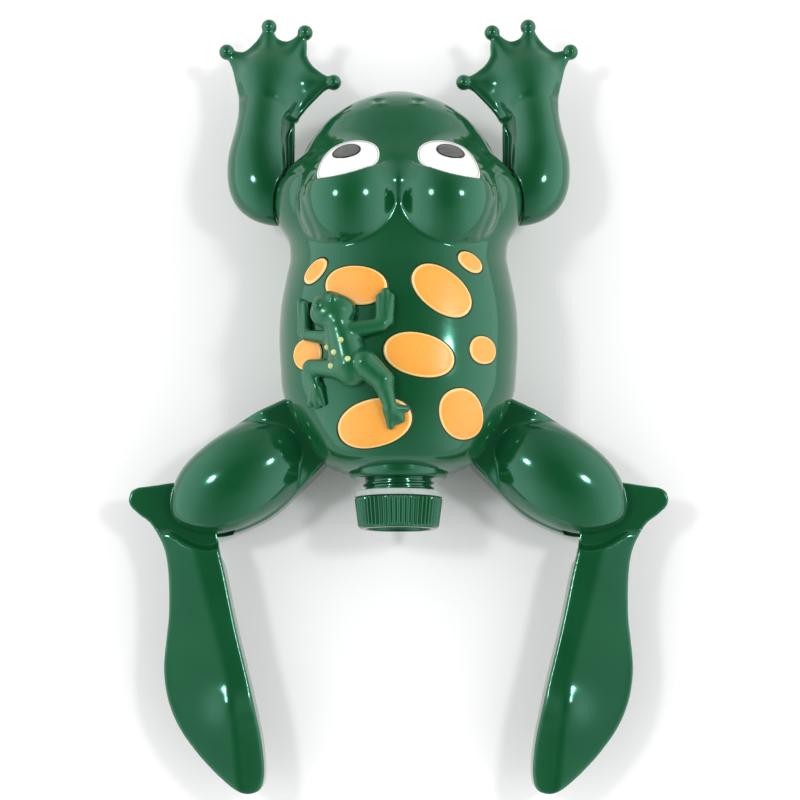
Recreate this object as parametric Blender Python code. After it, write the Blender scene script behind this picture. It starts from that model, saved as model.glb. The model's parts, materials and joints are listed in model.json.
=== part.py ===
"""A battery-driven swimming frog: a plastic pool toy whose hind legs kick in the horizontal plane.

Run it with: blender --background --python part.py
Lengths are written in millimetres and scaled by MM. +Y is the way the frog swims, +X is its right side
and +Z is up. The origin lies on the flat belly, midway between the finger tips and the paddle tips.
"""

import math

import bmesh
import bpy
from mathutils import Matrix, Vector

MM = 0.001
GAP = 0.3  # left between two pieces that touch
SIDES = ((-1, "left"), (1, "right"))

# ---------------------------------------------------------------- hull
PARTING_Z = 34.0  # the plane where the two shells meet, through the battery tube's axis
WALL = 2.4
BACK_POWER = 2.2  # superellipse powers of the back and of the belly
BELLY_POWER = 2.6
HALF_RING = 9  # spans across half a ring of the hull
SNOUT_Y = 152.5
# Stations from the rump to the snout: y, half width, height above and depth below the parting plane.
STATIONS = (
    (-36.0, 31.0, 22.0, 22.0),
    (-34.5, 34.5, 25.5, 25.5),
    (-32.0, 36.7, 28.5, 28.5),
    (-24.0, 42.2, 34.0, 33.0),
    (-13.5, 48.5, 38.0, 35.5),
    (0.0, 55.0, 41.0, 36.0),
    (16.0, 57.0, 42.0, 36.0),
    (32.0, 57.7, 42.0, 36.0),
    (46.0, 56.8, 41.8, 36.0),
    (59.0, 54.5, 40.5, 36.0),
    (68.5, 52.8, 39.0, 36.0),
    (78.0, 54.0, 38.0, 36.0),
    (87.0, 59.0, 37.5, 36.0),
    (95.5, 61.2, 37.0, 35.8),
    (103.0, 60.6, 36.5, 35.0),
    (112.0, 55.0, 35.0, 33.5),
    (119.5, 47.5, 33.0, 31.0),
    (129.0, 41.8, 29.5, 27.0),
    (139.0, 33.5, 24.5, 20.5),
    (146.5, 22.0, 17.5, 13.0),
    (150.5, 12.5, 11.0, 7.5),
)
SCREW_PLACES = (  # the screws that hold the shells together
    ("front", 0.0, 127.0),
    ("neck_left", -42.0, 84.0),
    ("neck_right", 42.0, 84.0),
    ("rump_left", -21.0, -25.5),
    ("rump_right", 21.0, -25.5),
)
SCREW_SEAT, SCREW_TIP = 22.0, 44.0  # heights of the shoulder under the head and of the tip
HEAD_RADIUS, SHANK_RADIUS = 2.8, 1.3

# ---------------------------------------------------------------- face
MOUND_CENTRE = (22.5, 92.0, 58.0)  # of the bulge round the right eye
MOUND_RADII = (24.5, 26.0, 24.0)
EYE_DIRECTION = (-0.02, 0.62, 0.78)  # from the mound's centre to the middle of the white
EYE_HALF = (14.0, 11.0)  # half width and half height of the white
PUPIL_DIRECTION = (0.0, 0.75, 0.66)
PUPIL_HALF = (6.0, 4.2)
EYE_ROLL = 10.0  # degrees the eye leans outwards

# ---------------------------------------------------------------- arms
SPIGOT_Y, SPIGOT_RADIUS = 100.0, 5.5
ARM_BLOBS = (  # centre and radii of the right arm's swellings, shoulder to palm
    ((58.0, 103.0, 31.0), (21.0, 16.0, 13.0)),
    ((68.0, 114.0, 31.0), (17.5, 19.0, 14.0)),
    ((68.5, 130.0, 30.0), (16.5, 18.0, 13.0)),
    ((66.0, 147.0, 30.0), (14.8, 15.0, 10.0)),
    ((63.0, 161.0, 30.0), (18.5, 13.0, 7.5)),
)
FINGER_TIPS = ((86.0, 176.2), (65.0, 189.9), (46.9, 186.3), (32.5, 160.4))
FINGER_BALL = 3.9
HAND_LOW, HAND_TOP = 26.5, 33.0
HAND_OUTLINE = (  # the web, anticlockwise from the wrist's outer side
    (80.4, 148.0), (81.0, 158.2), (85.0, 170.2), (86.0, 176.2), (79.3, 176.0), (76.0, 177.1), (71.2, 182.0),
    (67.0, 188.5), (65.0, 189.9), (61.5, 184.0), (56.8, 181.7), (52.0, 183.0), (48.0, 186.0), (46.0, 180.0),
    (45.8, 174.1), (43.0, 169.0), (38.0, 164.8), (32.5, 160.4), (37.5, 155.0), (51.7, 144.0), (53.0, 138.0),
)

# ---------------------------------------------------------------- the small frog on the back
BABY_LIMBS = (  # two ends as x, y and height over the back, then the radius at each end
    ((-27.0, 27.0, 4.5), (-22.5, 4.5, 4.5), 8.0, 8.8),
    ((-21.0, 27.5, 3.0), (-6.0, 26.5, 3.0), 3.6, 2.8),
    ((-6.0, 27.0, 3.0), (-6.5, 42.0, 2.2), 2.8, 3.4),
    ((-33.0, 24.5, 3.0), (-43.5, 24.5, 2.6), 3.4, 2.6),
    ((-43.5, 25.0, 2.6), (-45.0, 39.0, 2.2), 2.6, 2.4),
    ((-17.0, 9.0, 3.4), (-4.8, -4.0, 3.0), 5.0, 4.0),
    ((-4.8, -4.0, 3.0), (-5.6, -16.5, 2.4), 4.0, 2.8),
    ((-5.6, -16.5, 2.2), (3.2, -12.0, 2.0), 2.8, 3.2),
    ((-29.0, 4.5, 3.2), (-41.5, 9.0, 2.6), 4.6, 3.2),
    ((-41.5, 9.0, 2.6), (-39.0, -2.0, 2.2), 3.2, 2.6),
    ((-39.0, -2.0, 2.2), (-38.5, -9.0, 2.0), 2.6, 3.8),
)
BABY_HEAD = ((-30.0, 37.0), 6.0, (10.0, 10.5, 7.0))  # place, height over the back, radii
BABY_EYES = ((-36.2, 41.5), (-26.0, 44.5))

# ---------------------------------------------------------------- legs, all written for the right side
HIP = (34.0, -4.0)
KNEE = (97.0, -52.4)
THIGH_LOW, THIGH_SPLIT, THIGH_TOP = 15.0, 24.0, 33.4
THIGH_WALL = 2.6
THIGH_OUTLINE = (  # anticlockwise from the hip's inner side
    (25.5, -8.0), (29.8, -22.0), (36.0, -31.7), (48.0, -43.8), (63.0, -57.0), (83.8, -65.4), (99.0, -63.5),
    (109.0, -57.5), (110.0, -46.0), (103.0, -30.5), (83.0, -13.7), (56.0, 0.0), (44.0, 5.0), (34.0, 6.0),
)
THIGH_SCREW = (58.0, -26.0)
HIP_FOOT_Z = 7.0  # floor of the lower shell's hip socket
POD_CENTRE = (78.5, -38.0, 24.0)
POD_RADII = (36.5, 22.0, 21.0)
POD_DEPTH = 13.5  # of the pod below its centre
POD_ANGLE = -31.0  # of the pod's long axis, in degrees from +X
SLOT_LOW, SLOT_HIGH, SLOT_RADIUS = 19.3, 27.7, 21.0  # the space between the knee's two ears
PIN_RADIUS, PIN_BORE = 2.0, 2.35
PADDLE_TOP, PADDLE_PLATE, PADDLE_LOW, PADDLE_WALL = 27.2, 2.8, 14.0, 2.0
PADDLE_CORNERS = (  # anticlockwise from the hidden heel
    (88.0, -44.0), (85.5, -54.0), (87.3, -64.7), (82.6, -85.7), (77.2, -110.0), (69.2, -141.5),
    (64.2, -165.0), (63.4, -180.5), (67.5, -186.3), (77.0, -184.5), (94.0, -169.0), (106.5, -151.0),
    (111.6, -130.0), (109.6, -101.0), (111.4, -75.5), (119.0, -60.2), (129.6, -51.5), (129.6, -44.2),
    (112.0, -40.5), (98.0, -39.0),
)
RIM_FRONT = -77.0  # the paddle's deep rim ends here, clear of the knee's lower ear

# ---------------------------------------------------------------- battery compartment and cap, along Y
AXIS_Z = PARTING_Z
BORE_RADIUS, TUBE_RADIUS, TUBE_FRONT = 14.0, 16.2, 57.0
COLLAR_RADIUS, COLLAR_BACK, COLLAR_FRONT = 23.5, -39.3, -31.3
NECK_RADIUS, THREAD_RADIUS, NECK_END = 15.8, 17.0, -54.5
THREAD_PITCH = 2.5
CELL_RADIUS, CELL_LENGTH, NUB_LENGTH = 13.1, 48.2, 1.5
CAP_FRONT, CAP_END, CAP_FRONT_RADIUS, CAP_END_RADIUS = -48.2, -63.0, 21.0, 19.4
CAP_BORE = 17.85
CAP_RIBS, RIB_HEIGHT = 20, 0.7
GASKET_FRONT = -45.0
SPRING_TURNS, SPRING_LENGTH, SPRING_WIRE = 3.5, 5.8, 0.45

# ---------------------------------------------------------------- drive
MOTOR_Y, CRANK_Y, IDLER_Y = 100.0, 88.0, 76.0
GEAR_MODULE, BIG_TEETH, SMALL_TEETH = 0.75, 24, 8
FLANK = math.tan(math.radians(22.0))  # lean of a tooth's side
BOX_LOW, BOX_HIGH, BOX_BACK, BOX_FRONT, BOX_HALF = 6.5, 41.5, 57.6, 112.5, 21.0
RACK_MODULE, HIP_TEETH = 1.25, 16
RACK_X = HIP[0] - RACK_MODULE * HIP_TEETH / 2  # where the racks' pitch lines run
YOKE_LOW, YOKE_HIGH = 51.0, 54.0
CRANK_RADIUS = 3.14
YOKE_REST = 0.70  # how far forward of mid stroke the yoke stands

# ---------------------------------------------------------------- materials: colour, roughness, metallic
MATERIALS = {
    "green_plastic": ((0.020, 0.130, 0.060), 0.12, 0.0),
    "eye_white": ((0.85, 0.85, 0.84), 0.3, 0.0),
    "pupil_black": ((0.02, 0.02, 0.02), 0.15, 0.0),
    "gasket_rubber": ((0.52, 0.60, 0.56), 0.55, 0.0),
    "steel": ((0.60, 0.61, 0.62), 0.3, 1.0),
    "cell_jacket": ((0.10, 0.10, 0.11), 0.4, 0.6),
    "white_plastic": ((0.80, 0.80, 0.77), 0.4, 0.0),
    "motor_can": ((0.62, 0.63, 0.65), 0.35, 0.9),
    "brass": ((0.75, 0.58, 0.28), 0.3, 1.0),
    "float_foam": ((0.90, 0.90, 0.88), 0.9, 0.0),
    "wire_red": ((0.55, 0.04, 0.03), 0.5, 0.0),
    "wire_black": ((0.02, 0.02, 0.02), 0.5, 0.0),
}


# ================================================================ making solids
def clear_scene():
    for old in list(bpy.data.objects):
        bpy.data.objects.remove(old)


def make_materials():
    made = {}
    for name, (colour, roughness, metallic) in MATERIALS.items():
        material = bpy.data.materials.new(name)
        material.use_nodes = True
        shader = material.node_tree.nodes["Principled BSDF"]
        shader.inputs["Base Color"].default_value = (*colour, 1.0)
        shader.inputs["Roughness"].default_value = roughness
        shader.inputs["Metallic"].default_value = metallic
        made[name] = material
    return made


def new_object(name, points, faces, material=None, sharp=35.0):
    """A mesh object from points in millimetres. Without a material it is a cutter or a piece to join."""
    mesh = bpy.data.meshes.new(name)
    mesh.from_pydata([Vector(p) * MM for p in points], [], faces)
    shape = bmesh.new()
    shape.from_mesh(mesh)
    bmesh.ops.remove_doubles(shape, verts=shape.verts, dist=1e-7)
    bmesh.ops.recalc_face_normals(shape, faces=shape.faces)
    bmesh.ops.triangulate(shape, faces=[f for f in shape.faces if is_bent(f)])
    shape.to_mesh(mesh)
    shape.free()
    mesh.shade_smooth()
    mesh.set_sharp_from_angle(angle=math.radians(sharp))
    made = bpy.data.objects.new(name, mesh)
    bpy.context.scene.collection.objects.link(made)
    if material:
        mesh.materials.append(material)
    else:
        made.hide_render = True
        made.display_type = "WIRE"
    return made


def is_bent(face):
    """Whether a face's corners leave its plane."""
    centre = face.calc_center_median()
    return any(abs((v.co - centre).dot(face.normal)) > 1e-8 for v in face.verts)


def loft(name, rings, material=None, tip=None, sharp=35.0):
    """Rings of equal length joined into a skin, with a flat cap at each end or a point at the last."""
    count = len(rings[0])
    points = [p for ring in rings for p in ring]
    faces = [tuple(range(count))]
    for k in range(len(rings) - 1):
        for i in range(count):
            j = (i + 1) % count
            faces.append((k * count + i, (k + 1) * count + i, (k + 1) * count + j, k * count + j))
    last = (len(rings) - 1) * count
    if tip is None:
        faces.append(tuple(range(last + count - 1, last - 1, -1)))
    else:
        points.append(tip)
        faces += [(last + i, len(points) - 1, last + (i + 1) % count) for i in range(count)]
    return new_object(name, points, faces, material, sharp)


def circle(radius, count, centre=(0.0, 0.0)):
    steps = [math.tau * i / count for i in range(count)]
    return [(centre[0] + radius * math.cos(a), centre[1] + radius * math.sin(a)) for a in steps]


def spindle(name, profile, centre, material=None, count=12):
    """An upright solid of revolution. The profile holds (z, radius) pairs from the bottom up."""
    rings = [[(x, y, z) for x, y in circle(radius, count, centre)] for z, radius in profile]
    return loft(name, rings, material)


def post(name, radius, low, high, centre, material=None, count=12):
    return spindle(name, [(low, radius), (high, radius)], centre, material, count)


def turned(name, profile, material=None, count=20):
    """A solid of revolution about the battery axis, from (y, radius) pairs from the back forwards."""
    rings = [[(x, y, AXIS_Z + z) for x, z in circle(radius, count)] for y, radius in profile]
    return loft(name, rings, material)


def prism(name, outline, low, high, material=None, sharp=35.0):
    """An outline in the XY plane drawn up from low to high."""
    return loft(name, [[(x, y, z) for x, y in outline] for z in (low, high)], material, sharp=sharp)


def box(name, low, high, material=None):
    (x0, y0, z0), (x1, y1, z1) = low, high
    x0, x1 = sorted((x0, x1))
    return prism(name, [(x0, y0), (x1, y0), (x1, y1), (x0, y1)], z0, z1, material)


def swept(name, path, radii, material=None, count=8):
    """A round rod along a path, with its own radius at each point of it."""
    path = [Vector(p) for p in path]
    rings = []
    side = None
    for k, point in enumerate(path):
        along = (path[min(k + 1, len(path) - 1)] - path[max(k - 1, 0)]).normalized()
        if side is None:
            side = along.orthogonal()
        side = (side - along * side.dot(along)).normalized()
        up = along.cross(side)
        rings.append([tuple(point + side * a + up * b) for a, b in circle(radii[k], count)])
    return loft(name, rings, material)


def ellipsoid(name, centre, radii, turn=0.0, spans=(16, 10), depth=None):
    """An ellipsoid turned about Z. depth is a different radius for its lower half."""
    around, down = spans
    points = [(0.0, 0.0, 1.0)]
    for j in range(1, down):
        tilt = math.pi * j / down
        points += [(math.sin(tilt) * a, math.sin(tilt) * b, math.cos(tilt)) for a, b in circle(1.0, around)]
    points.append((0.0, 0.0, -1.0))
    faces = []
    for i in range(around):
        n = (i + 1) % around
        faces.append((0, 1 + i, 1 + n))
        for j in range(down - 2):
            a, b = 1 + j * around, 1 + (j + 1) * around
            faces.append((a + i, b + i, b + n, a + n))
        faces.append((len(points) - 1, 1 + (down - 2) * around + n, 1 + (down - 2) * around + i))
    c, s = math.cos(math.radians(turn)), math.sin(math.radians(turn))
    placed = []
    for x, y, z in points:
        height = radii[2] if z > 0 or depth is None else depth
        x, y = x * radii[0], y * radii[1]
        placed.append((centre[0] + x * c - y * s, centre[1] + x * s + y * c, centre[2] + z * height))
    return new_object(name, placed, faces)


def group(name, pieces):
    """Pieces that don't touch one another, made into one cutter."""
    shape = bmesh.new()
    for piece in pieces:
        shape.from_mesh(piece.data)
        bpy.data.objects.remove(piece)
    mesh = bpy.data.meshes.new(name)
    shape.to_mesh(mesh)
    shape.free()
    made = bpy.data.objects.new(name, mesh)
    bpy.context.scene.collection.objects.link(made)
    made.hide_render = True
    made.display_type = "WIRE"
    return made


def boolean(target, other, operation):
    modifier = target.modifiers.new(f"{operation.lower()} {other.name}", "BOOLEAN")
    modifier.operation = operation
    modifier.solver = "EXACT"
    modifier.object = other
    return target


def cut(target, *cutters):
    for other in cutters:
        boolean(target, other, "DIFFERENCE")
    return target


def join(target, *others):
    for other in others:
        boolean(target, other, "UNION")
    return target


def keep(target, *others):
    for other in others:
        boolean(target, other, "INTERSECT")
    return target


def show_with(made, material):
    """Turns a cutter into a visible piece."""
    made.data.materials.append(material)
    made.hide_render = False
    made.display_type = "TEXTURED"
    return made


def one_skin(name, pieces, voxel, share, material):
    """Overlapping pieces made into one soft skin that keeps a share of its faces."""
    made = show_with(group(name, pieces), material)
    remesh = made.modifiers.new("one skin", "REMESH")
    remesh.mode = "VOXEL"
    remesh.voxel_size = voxel * MM
    remesh.use_smooth_shade = True
    smooth = made.modifiers.new("soften", "SMOOTH")
    smooth.iterations = 3
    smooth.factor = 0.5
    thin = made.modifiers.new("thin", "DECIMATE")
    thin.ratio = share
    return made


def smooth_outline(corners, steps):
    """A closed Catmull-Rom curve through the corners, with that many points on each stretch."""
    found = []
    count = len(corners)
    for i in range(count):
        p = [Vector(corners[(i + k - 1) % count]) for k in range(4)]
        for s in range(steps):
            t = s / steps
            point = 2 * p[1] + (p[2] - p[0]) * t
            point += (2 * p[0] - 5 * p[1] + 4 * p[2] - p[3]) * t**2
            point += (3 * p[1] - p[0] - 3 * p[2] + p[3]) * t**3
            found.append(tuple(point * 0.5))
    return found


def inset(outline, distance):
    """An anticlockwise outline moved inwards."""
    moved = []
    for i, (x, y) in enumerate(outline):
        along = (Vector(outline[(i + 1) % len(outline)]) - Vector(outline[i - 1])).normalized()
        moved.append((x - along.y * distance, y + along.x * distance))
    return moved


def on_side(points, side):
    """Points of the right side in XY, taken to a side and kept anticlockwise."""
    flipped = [(x * side, y) for x, y in points]
    return flipped if side > 0 else flipped[::-1]


# ================================================================ hull
def half_hull(name, half, grow, edge, material=None):
    """The upper (half +1) or lower (half -1) part of the hull, its skin moved outwards by grow.

    edge is how far its flat face lies from the parting plane.
    """
    middle = (STATIONS[0][0] + SNOUT_Y) / 2
    stretch = 1 + grow / (SNOUT_Y - middle)
    rings = []
    for y, width, height, depth in STATIONS:
        reach, power = (height, BACK_POWER) if half > 0 else (depth, BELLY_POWER)
        ring = []
        for i in range(HALF_RING + 1):
            angle = math.pi * i / HALF_RING
            c, s = math.cos(angle), math.sin(angle)
            x = (width + grow) * math.copysign(abs(c) ** (2 / power), c)
            rise = max((reach + grow) * abs(s) ** (2 / power), edge) if 0 < i < HALF_RING else edge
            ring.append((x, middle + (y - middle) * stretch, max(PARTING_Z + half * rise, -grow)))
        rings.append(ring)
    tip = (0.0, middle + (SNOUT_Y - middle) * stretch, PARTING_Z + half * max(edge, 0.5))
    return loft(name, rings, material, tip=tip)


def back_height(x, y):
    """Height of the back's surface over a point."""
    for (y0, w0, h0, _), (y1, w1, h1, _) in zip(STATIONS, STATIONS[1:]):
        if y0 <= y <= y1:
            t = (y - y0) / (y1 - y0)
            width, height = w0 + t * (w1 - w0), h0 + t * (h1 - h0)
            return PARTING_Z + height * (1 - abs(x / width) ** BACK_POWER) ** (1 / BACK_POWER)
    raise ValueError(f"y {y} is off the hull")


def mound(name, side, grow, spans=(14, 10)):
    x, y, z = MOUND_CENTRE
    return ellipsoid(name, (x * side, y, z), [r + grow for r in MOUND_RADII], spans=spans)


def upper_solid(name, grow, edge, material=None):
    """The back with both eye mounds."""
    made = half_hull(name, 1, grow, edge, material)
    for side, word in SIDES:
        join(made, mound(f"{name}_mound_{word}", side, grow))
    return made


def bosses(name, posts, limit):
    """Screw posts and the like, cut off inside the shell's wall."""
    return keep(group(name, posts), limit)


def add_hull(materials):
    green = materials["green_plastic"]
    rim = PARTING_Z + GAP / 2
    upper = upper_solid("upper_shell", 0.0, GAP / 2, green)
    cut(upper, upper_solid("upper_inside", -WALL, -2.0))
    cut(upper, box("upper_rim_plane", (-90, -90, -9), (90, 190, rim)))
    posts = [post("p", 4.0, rim, 90.0, (x, y)) for _, x, y in SCREW_PLACES]
    posts += [post("p", 5.0, 56.0, 90.0, (HIP[0] * side, HIP[1])) for side, _ in SIDES]
    join(upper, bosses("upper_bosses", posts, upper_solid("upper_limit", -1.0, GAP / 2)))
    holes = []
    for _, x, y in SCREW_PLACES:
        holes.append(post("h", SHANK_RADIUS + GAP, rim - 1, SCREW_TIP + 2, (x, y), count=8))
    holes += [post("h", PIN_BORE, 55.0, 61.6, (HIP[0] * side, HIP[1])) for side, _ in SIDES]
    cut(upper, group("upper_holes", holes))

    rim = PARTING_Z - GAP / 2
    lower = half_hull("lower_shell", -1, 0.0, GAP / 2, green)
    cut(lower, half_hull("lower_inside", -1, -WALL, -2.0))
    posts = [post("p", 4.3, -5.0, rim, (x, y)) for _, x, y in SCREW_PLACES]
    posts += [post("p", 6.5, -5.0, THIGH_LOW - 0.6, (HIP[0] * side, HIP[1])) for side, _ in SIDES]
    join(lower, bosses("lower_bosses", posts, half_hull("lower_limit", -1, -1.0, GAP / 2)))
    holes = []
    for _, x, y in SCREW_PLACES:
        profile = [(-5.0, HEAD_RADIUS + 0.4), (SCREW_SEAT, HEAD_RADIUS + 0.4)]
        profile += [(SCREW_SEAT, SHANK_RADIUS + GAP), (rim + 1, SHANK_RADIUS + GAP)]
        holes.append(spindle("h", profile, (x, y), count=10))
    holes += [post("h", PIN_BORE, HIP_FOOT_Z, THIGH_LOW + 1, (HIP[0] * side, HIP[1])) for side, _ in SIDES]
    slots = [box("s", (27.8 * side, -50.0, 14.1), (75.0 * side, 11.7, rim + 1.0)) for side, _ in SIDES]
    cut(lower, group("lower_holes", holes), group("leg_slots", slots))

    openings = [turned("o", [(-50, COLLAR_RADIUS + 0.35), (-28, COLLAR_RADIUS + 0.35)])]
    for side, _ in SIDES:
        openings.append(spigot_rod("o", side, SPIGOT_RADIUS + 0.4, 50.0, 75.0))
    openings = group("hull_openings", openings)
    cut(upper, openings)
    cut(lower, openings)
    for side, word in SIDES:
        cut(upper, eye_plate(f"eye_socket_{word}", side, -1.4, 3.0, EYE_DIRECTION, EYE_HALF, 0.4))


def add_hull_screws(materials):
    for word, x, y in SCREW_PLACES:
        top = SCREW_SEAT - GAP
        profile = [(top - 2.2, HEAD_RADIUS), (top, HEAD_RADIUS), (top, SHANK_RADIUS), (SCREW_TIP, 0.9)]
        screw = spindle(f"hull_screw_{word}", profile, (x, y), materials["steel"], count=10)
        cut(screw, box(f"screw_slot_{word}", (x - 2.0, y - 0.5, top - 4), (x + 2.0, y + 0.5, top - 1.2)))


# ================================================================ eyes
def eye_plate(name, side, low, high, direction, half, spread=0.0):
    """The part of a shell round the mound, between two offsets, that an oval column marks out."""
    x, y, z = MOUND_CENTRE
    centre = Vector((x * side, y, z))
    out = Vector((direction[0] * side, direction[1], direction[2])).normalized()
    across = Vector((0.0, 0.0, 1.0)).cross(out).normalized()
    turn = Matrix.Rotation(math.radians(EYE_ROLL * side), 3, out)
    across, up = turn @ across, turn @ out.cross(across)
    rings = []
    for reach in (8.0, 40.0):
        ring = []
        for a, b in circle(1.0, 16):
            aside = across * ((half[0] + spread) * a) + up * ((half[1] + spread) * b)
            ring.append(centre + out * reach + aside)
        rings.append([tuple(p) for p in ring])
    plate = mound(name, side, high, spans=(18, 12))
    keep(plate, loft(f"{name}_column", rings))
    return cut(plate, mound(f"{name}_inside", side, low, spans=(18, 12)))


def add_eyes(materials):
    for side, word in SIDES:
        white = eye_plate(f"eye_{word}", side, -1.1, 0.9, EYE_DIRECTION, EYE_HALF)
        show_with(white, materials["eye_white"])
        pupil = eye_plate(f"pupil_{word}", side, 1.3, 2.1, PUPIL_DIRECTION, PUPIL_HALF)
        show_with(pupil, materials["pupil_black"])


# ================================================================ arms and small frog
def spigot_rod(name, side, radius, near, far):
    """A rod along X through the shoulder's hole."""
    rings = []
    for x in sorted((near * side, far * side)):
        rings.append([(x, SPIGOT_Y + a, PARTING_Z + b) for a, b in circle(radius, 12)])
    return loft(name, rings)


def add_arms(materials):
    keep_clear = [half_hull("arm_clearance_upper", 1, 0.45, 0.0)]
    keep_clear.append(half_hull("arm_clearance_lower", -1, 0.45, -0.01))
    for side, word in SIDES:
        pieces = [ellipsoid("a", (x * side, y, z), radii) for (x, y, z), radii in ARM_BLOBS]
        middle = (HAND_LOW + HAND_TOP) / 2
        pieces += [ellipsoid("f", (x * side, y, middle), (FINGER_BALL,) * 3) for x, y in FINGER_TIPS]
        pieces.append(prism("web", on_side(HAND_OUTLINE, side), HAND_LOW, HAND_TOP))
        arm = one_skin(f"arm_{word}", pieces, 1.9, 0.07, materials["green_plastic"])
        cut(arm, *keep_clear)
        join(arm, spigot_rod(f"spigot_{word}", side, SPIGOT_RADIUS, 51.5, 70.0))
        join(arm, spigot_rod(f"spigot_flange_{word}", side, 7.2, 50.9, 53.6))


def add_baby_frog(materials):
    pieces = []
    for start, end, radius0, radius1 in BABY_LIMBS:
        a, b = [Vector((x, y, back_height(x, y) + lift)) for x, y, lift in (start, end)]
        along = (b - a).normalized()
        path = [a - along * radius0 * 0.85, a, b, b + along * radius1 * 0.85]
        pieces.append(swept("limb", path, [radius0 * 0.5, radius0, radius1, radius1 * 0.5], count=10))
    (x, y), lift, radii = BABY_HEAD
    pieces.append(ellipsoid("head", (x, y, back_height(x, y) + lift), radii))
    for x, y in BABY_EYES:
        pieces.append(ellipsoid("bump", (x, y, back_height(x, y) + 10.5), (3.0, 3.0, 3.0)))
    baby = one_skin("baby_frog", pieces, 1.3, 0.065, materials["green_plastic"])
    cut(baby, half_hull("baby_clearance", 1, 0.35, -1.0))


# ================================================================ legs
def pod(name, side, grow):
    centre = (POD_CENTRE[0] * side, POD_CENTRE[1], POD_CENTRE[2])
    radii = [r + grow for r in POD_RADII]
    return ellipsoid(name, centre, radii, turn=POD_ANGLE * side, spans=(14, 10), depth=POD_DEPTH + grow)


def add_thigh(side, word, materials):
    """Two moulded halves with a hollow between them, and the screw and the pin that hold them."""
    outline = on_side(smooth_outline(THIGH_OUTLINE, 2), side)
    hip, knee, screw = [(x * side, y) for x, y in (HIP, KNEE, THIGH_SCREW)]
    low, high = THIGH_LOW + THIGH_WALL, THIGH_TOP - THIGH_WALL
    hollow = prism(f"thigh_hollow_{word}", inset(on_side(THIGH_OUTLINE, side), THIGH_WALL), low, high)
    join(hollow, pod(f"pod_hollow_{word}", side, -THIGH_WALL))
    cores = [post("c", 7.5, 0.0, 60.0, hip), post("c", 4.0, 0.0, 60.0, screw)]
    ears, ears_top = SLOT_RADIUS + 2.0, SLOT_HIGH + 2.5
    cores.append(spindle("c", [(0.0, ears), (ears_top, ears), (ears_top, 5.0), (60, 5.0)], knee, count=16))
    cut(hollow, group(f"thigh_cores_{word}", cores))

    for half in ("upper", "lower"):
        top = half == "upper"
        thigh = prism(f"thigh_{half}_{word}", outline, THIGH_LOW, THIGH_TOP, materials["green_plastic"])
        join(thigh, pod(f"pod_{half}_{word}", side, 0.0))
        cut(thigh, hollow)
        holes = [post("h", SLOT_RADIUS, SLOT_LOW, SLOT_HIGH, knee, count=16)]
        beyond = -10.0 if top else 70.0
        face = THIGH_SPLIT + (GAP / 2 if top else -GAP / 2)
        below, above = sorted((face, beyond))
        cut(thigh, box(f"split_{half}_{word}", (-150, -100, below), (150, 50, above)))
        cut(thigh, group(f"knee_slot_{half}_{word}", holes))
        if top:
            holes = [post("h", PIN_BORE, SLOT_HIGH - 1, 34.0, knee)]
            holes.append(post("h", 1.6, 20.0, 31.6, screw, count=8))
            holes.append(spindle("h", [(10.0, PIN_BORE), (29.0, PIN_BORE), (29.0, 4.7), (50.0, 4.7)], hip))
        else:
            holes = [post("h", PIN_BORE, 5.0, 30.0, hip)]
            holes.append(spindle("h", [(0.0, 4.6), (12.2, 4.6), (12.2, PIN_BORE), (25.0, PIN_BORE)], knee))
            holes.append(spindle("h", [(0.0, 3.2), (18.0, 3.2), (18.0, 1.6), (30.0, 1.6)], screw, count=10))
        cut(thigh, group(f"thigh_holes_{half}_{word}", holes))

    profile = [(15.5, 2.8), (17.7, 2.8), (17.7, 1.3), (30.6, 1.0)]
    spindle(f"thigh_screw_{word}", profile, screw, materials["steel"], count=10)
    profile = [(9.8, 4.2), (11.9, 4.2), (11.9, PIN_RADIUS), (33.6, PIN_RADIUS)]
    spindle(f"knee_pin_{word}", profile, knee, materials["steel"])


def add_paddle(side, word, materials):
    """A flat blade with a deep rim, and the tongue that swings between the knee's ears."""
    corners = smooth_outline(PADDLE_CORNERS, 2)
    rim = on_side([p for p in corners if p[1] < RIM_FRONT], side)
    knee = (KNEE[0] * side, KNEE[1])
    plate_low = PADDLE_TOP - PADDLE_PLATE
    blade = on_side(corners, side)
    paddle = prism(f"paddle_{word}", blade, plate_low, PADDLE_TOP, materials["green_plastic"])
    join(paddle, prism(f"paddle_rim_{word}", rim, PADDLE_LOW, plate_low + 1.0))
    hollow = inset(rim, PADDLE_WALL)
    cut(paddle, prism(f"paddle_hollow_{word}", hollow, PADDLE_LOW - 2, plate_low))
    join(paddle, post(f"paddle_hub_{word}", 8.0, SLOT_LOW + 0.5, plate_low + 1.0, knee, count=16))
    cut(paddle, post(f"paddle_bore_{word}", PIN_BORE, 10.0, 40.0, knee))


def add_hip(side, word, materials):
    """The fixed shaft, and the toothed sleeve that turns the thigh on it."""
    hip = (HIP[0] * side, HIP[1])
    post(f"hip_shaft_{word}", PIN_RADIUS, HIP_FOOT_Z + GAP, 61.2, hip, materials["steel"])
    teeth = gear_outline(HIP_TEETH, RACK_MODULE, 180.0 if side > 0 else 0.0, hip)
    gear = prism(f"hip_gear_{word}", teeth, YOKE_LOW, YOKE_HIGH, materials["white_plastic"], sharp=20)
    outside = box(f"no_teeth_{word}", (hip[0] - side, hip[1] - 15, 45), (hip[0] + 20 * side, hip[1] + 15, 60))
    cut(gear, outside)
    profile = [(29.3, 4.4), (33.9, 4.4), (33.9, 5.3), (YOKE_HIGH + 0.8, 5.3)]
    join(gear, spindle(f"hip_sleeve_{word}", profile, hip))
    cut(gear, post(f"hip_gear_bore_{word}", PIN_BORE, 20.0, 60.0, hip))


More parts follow.
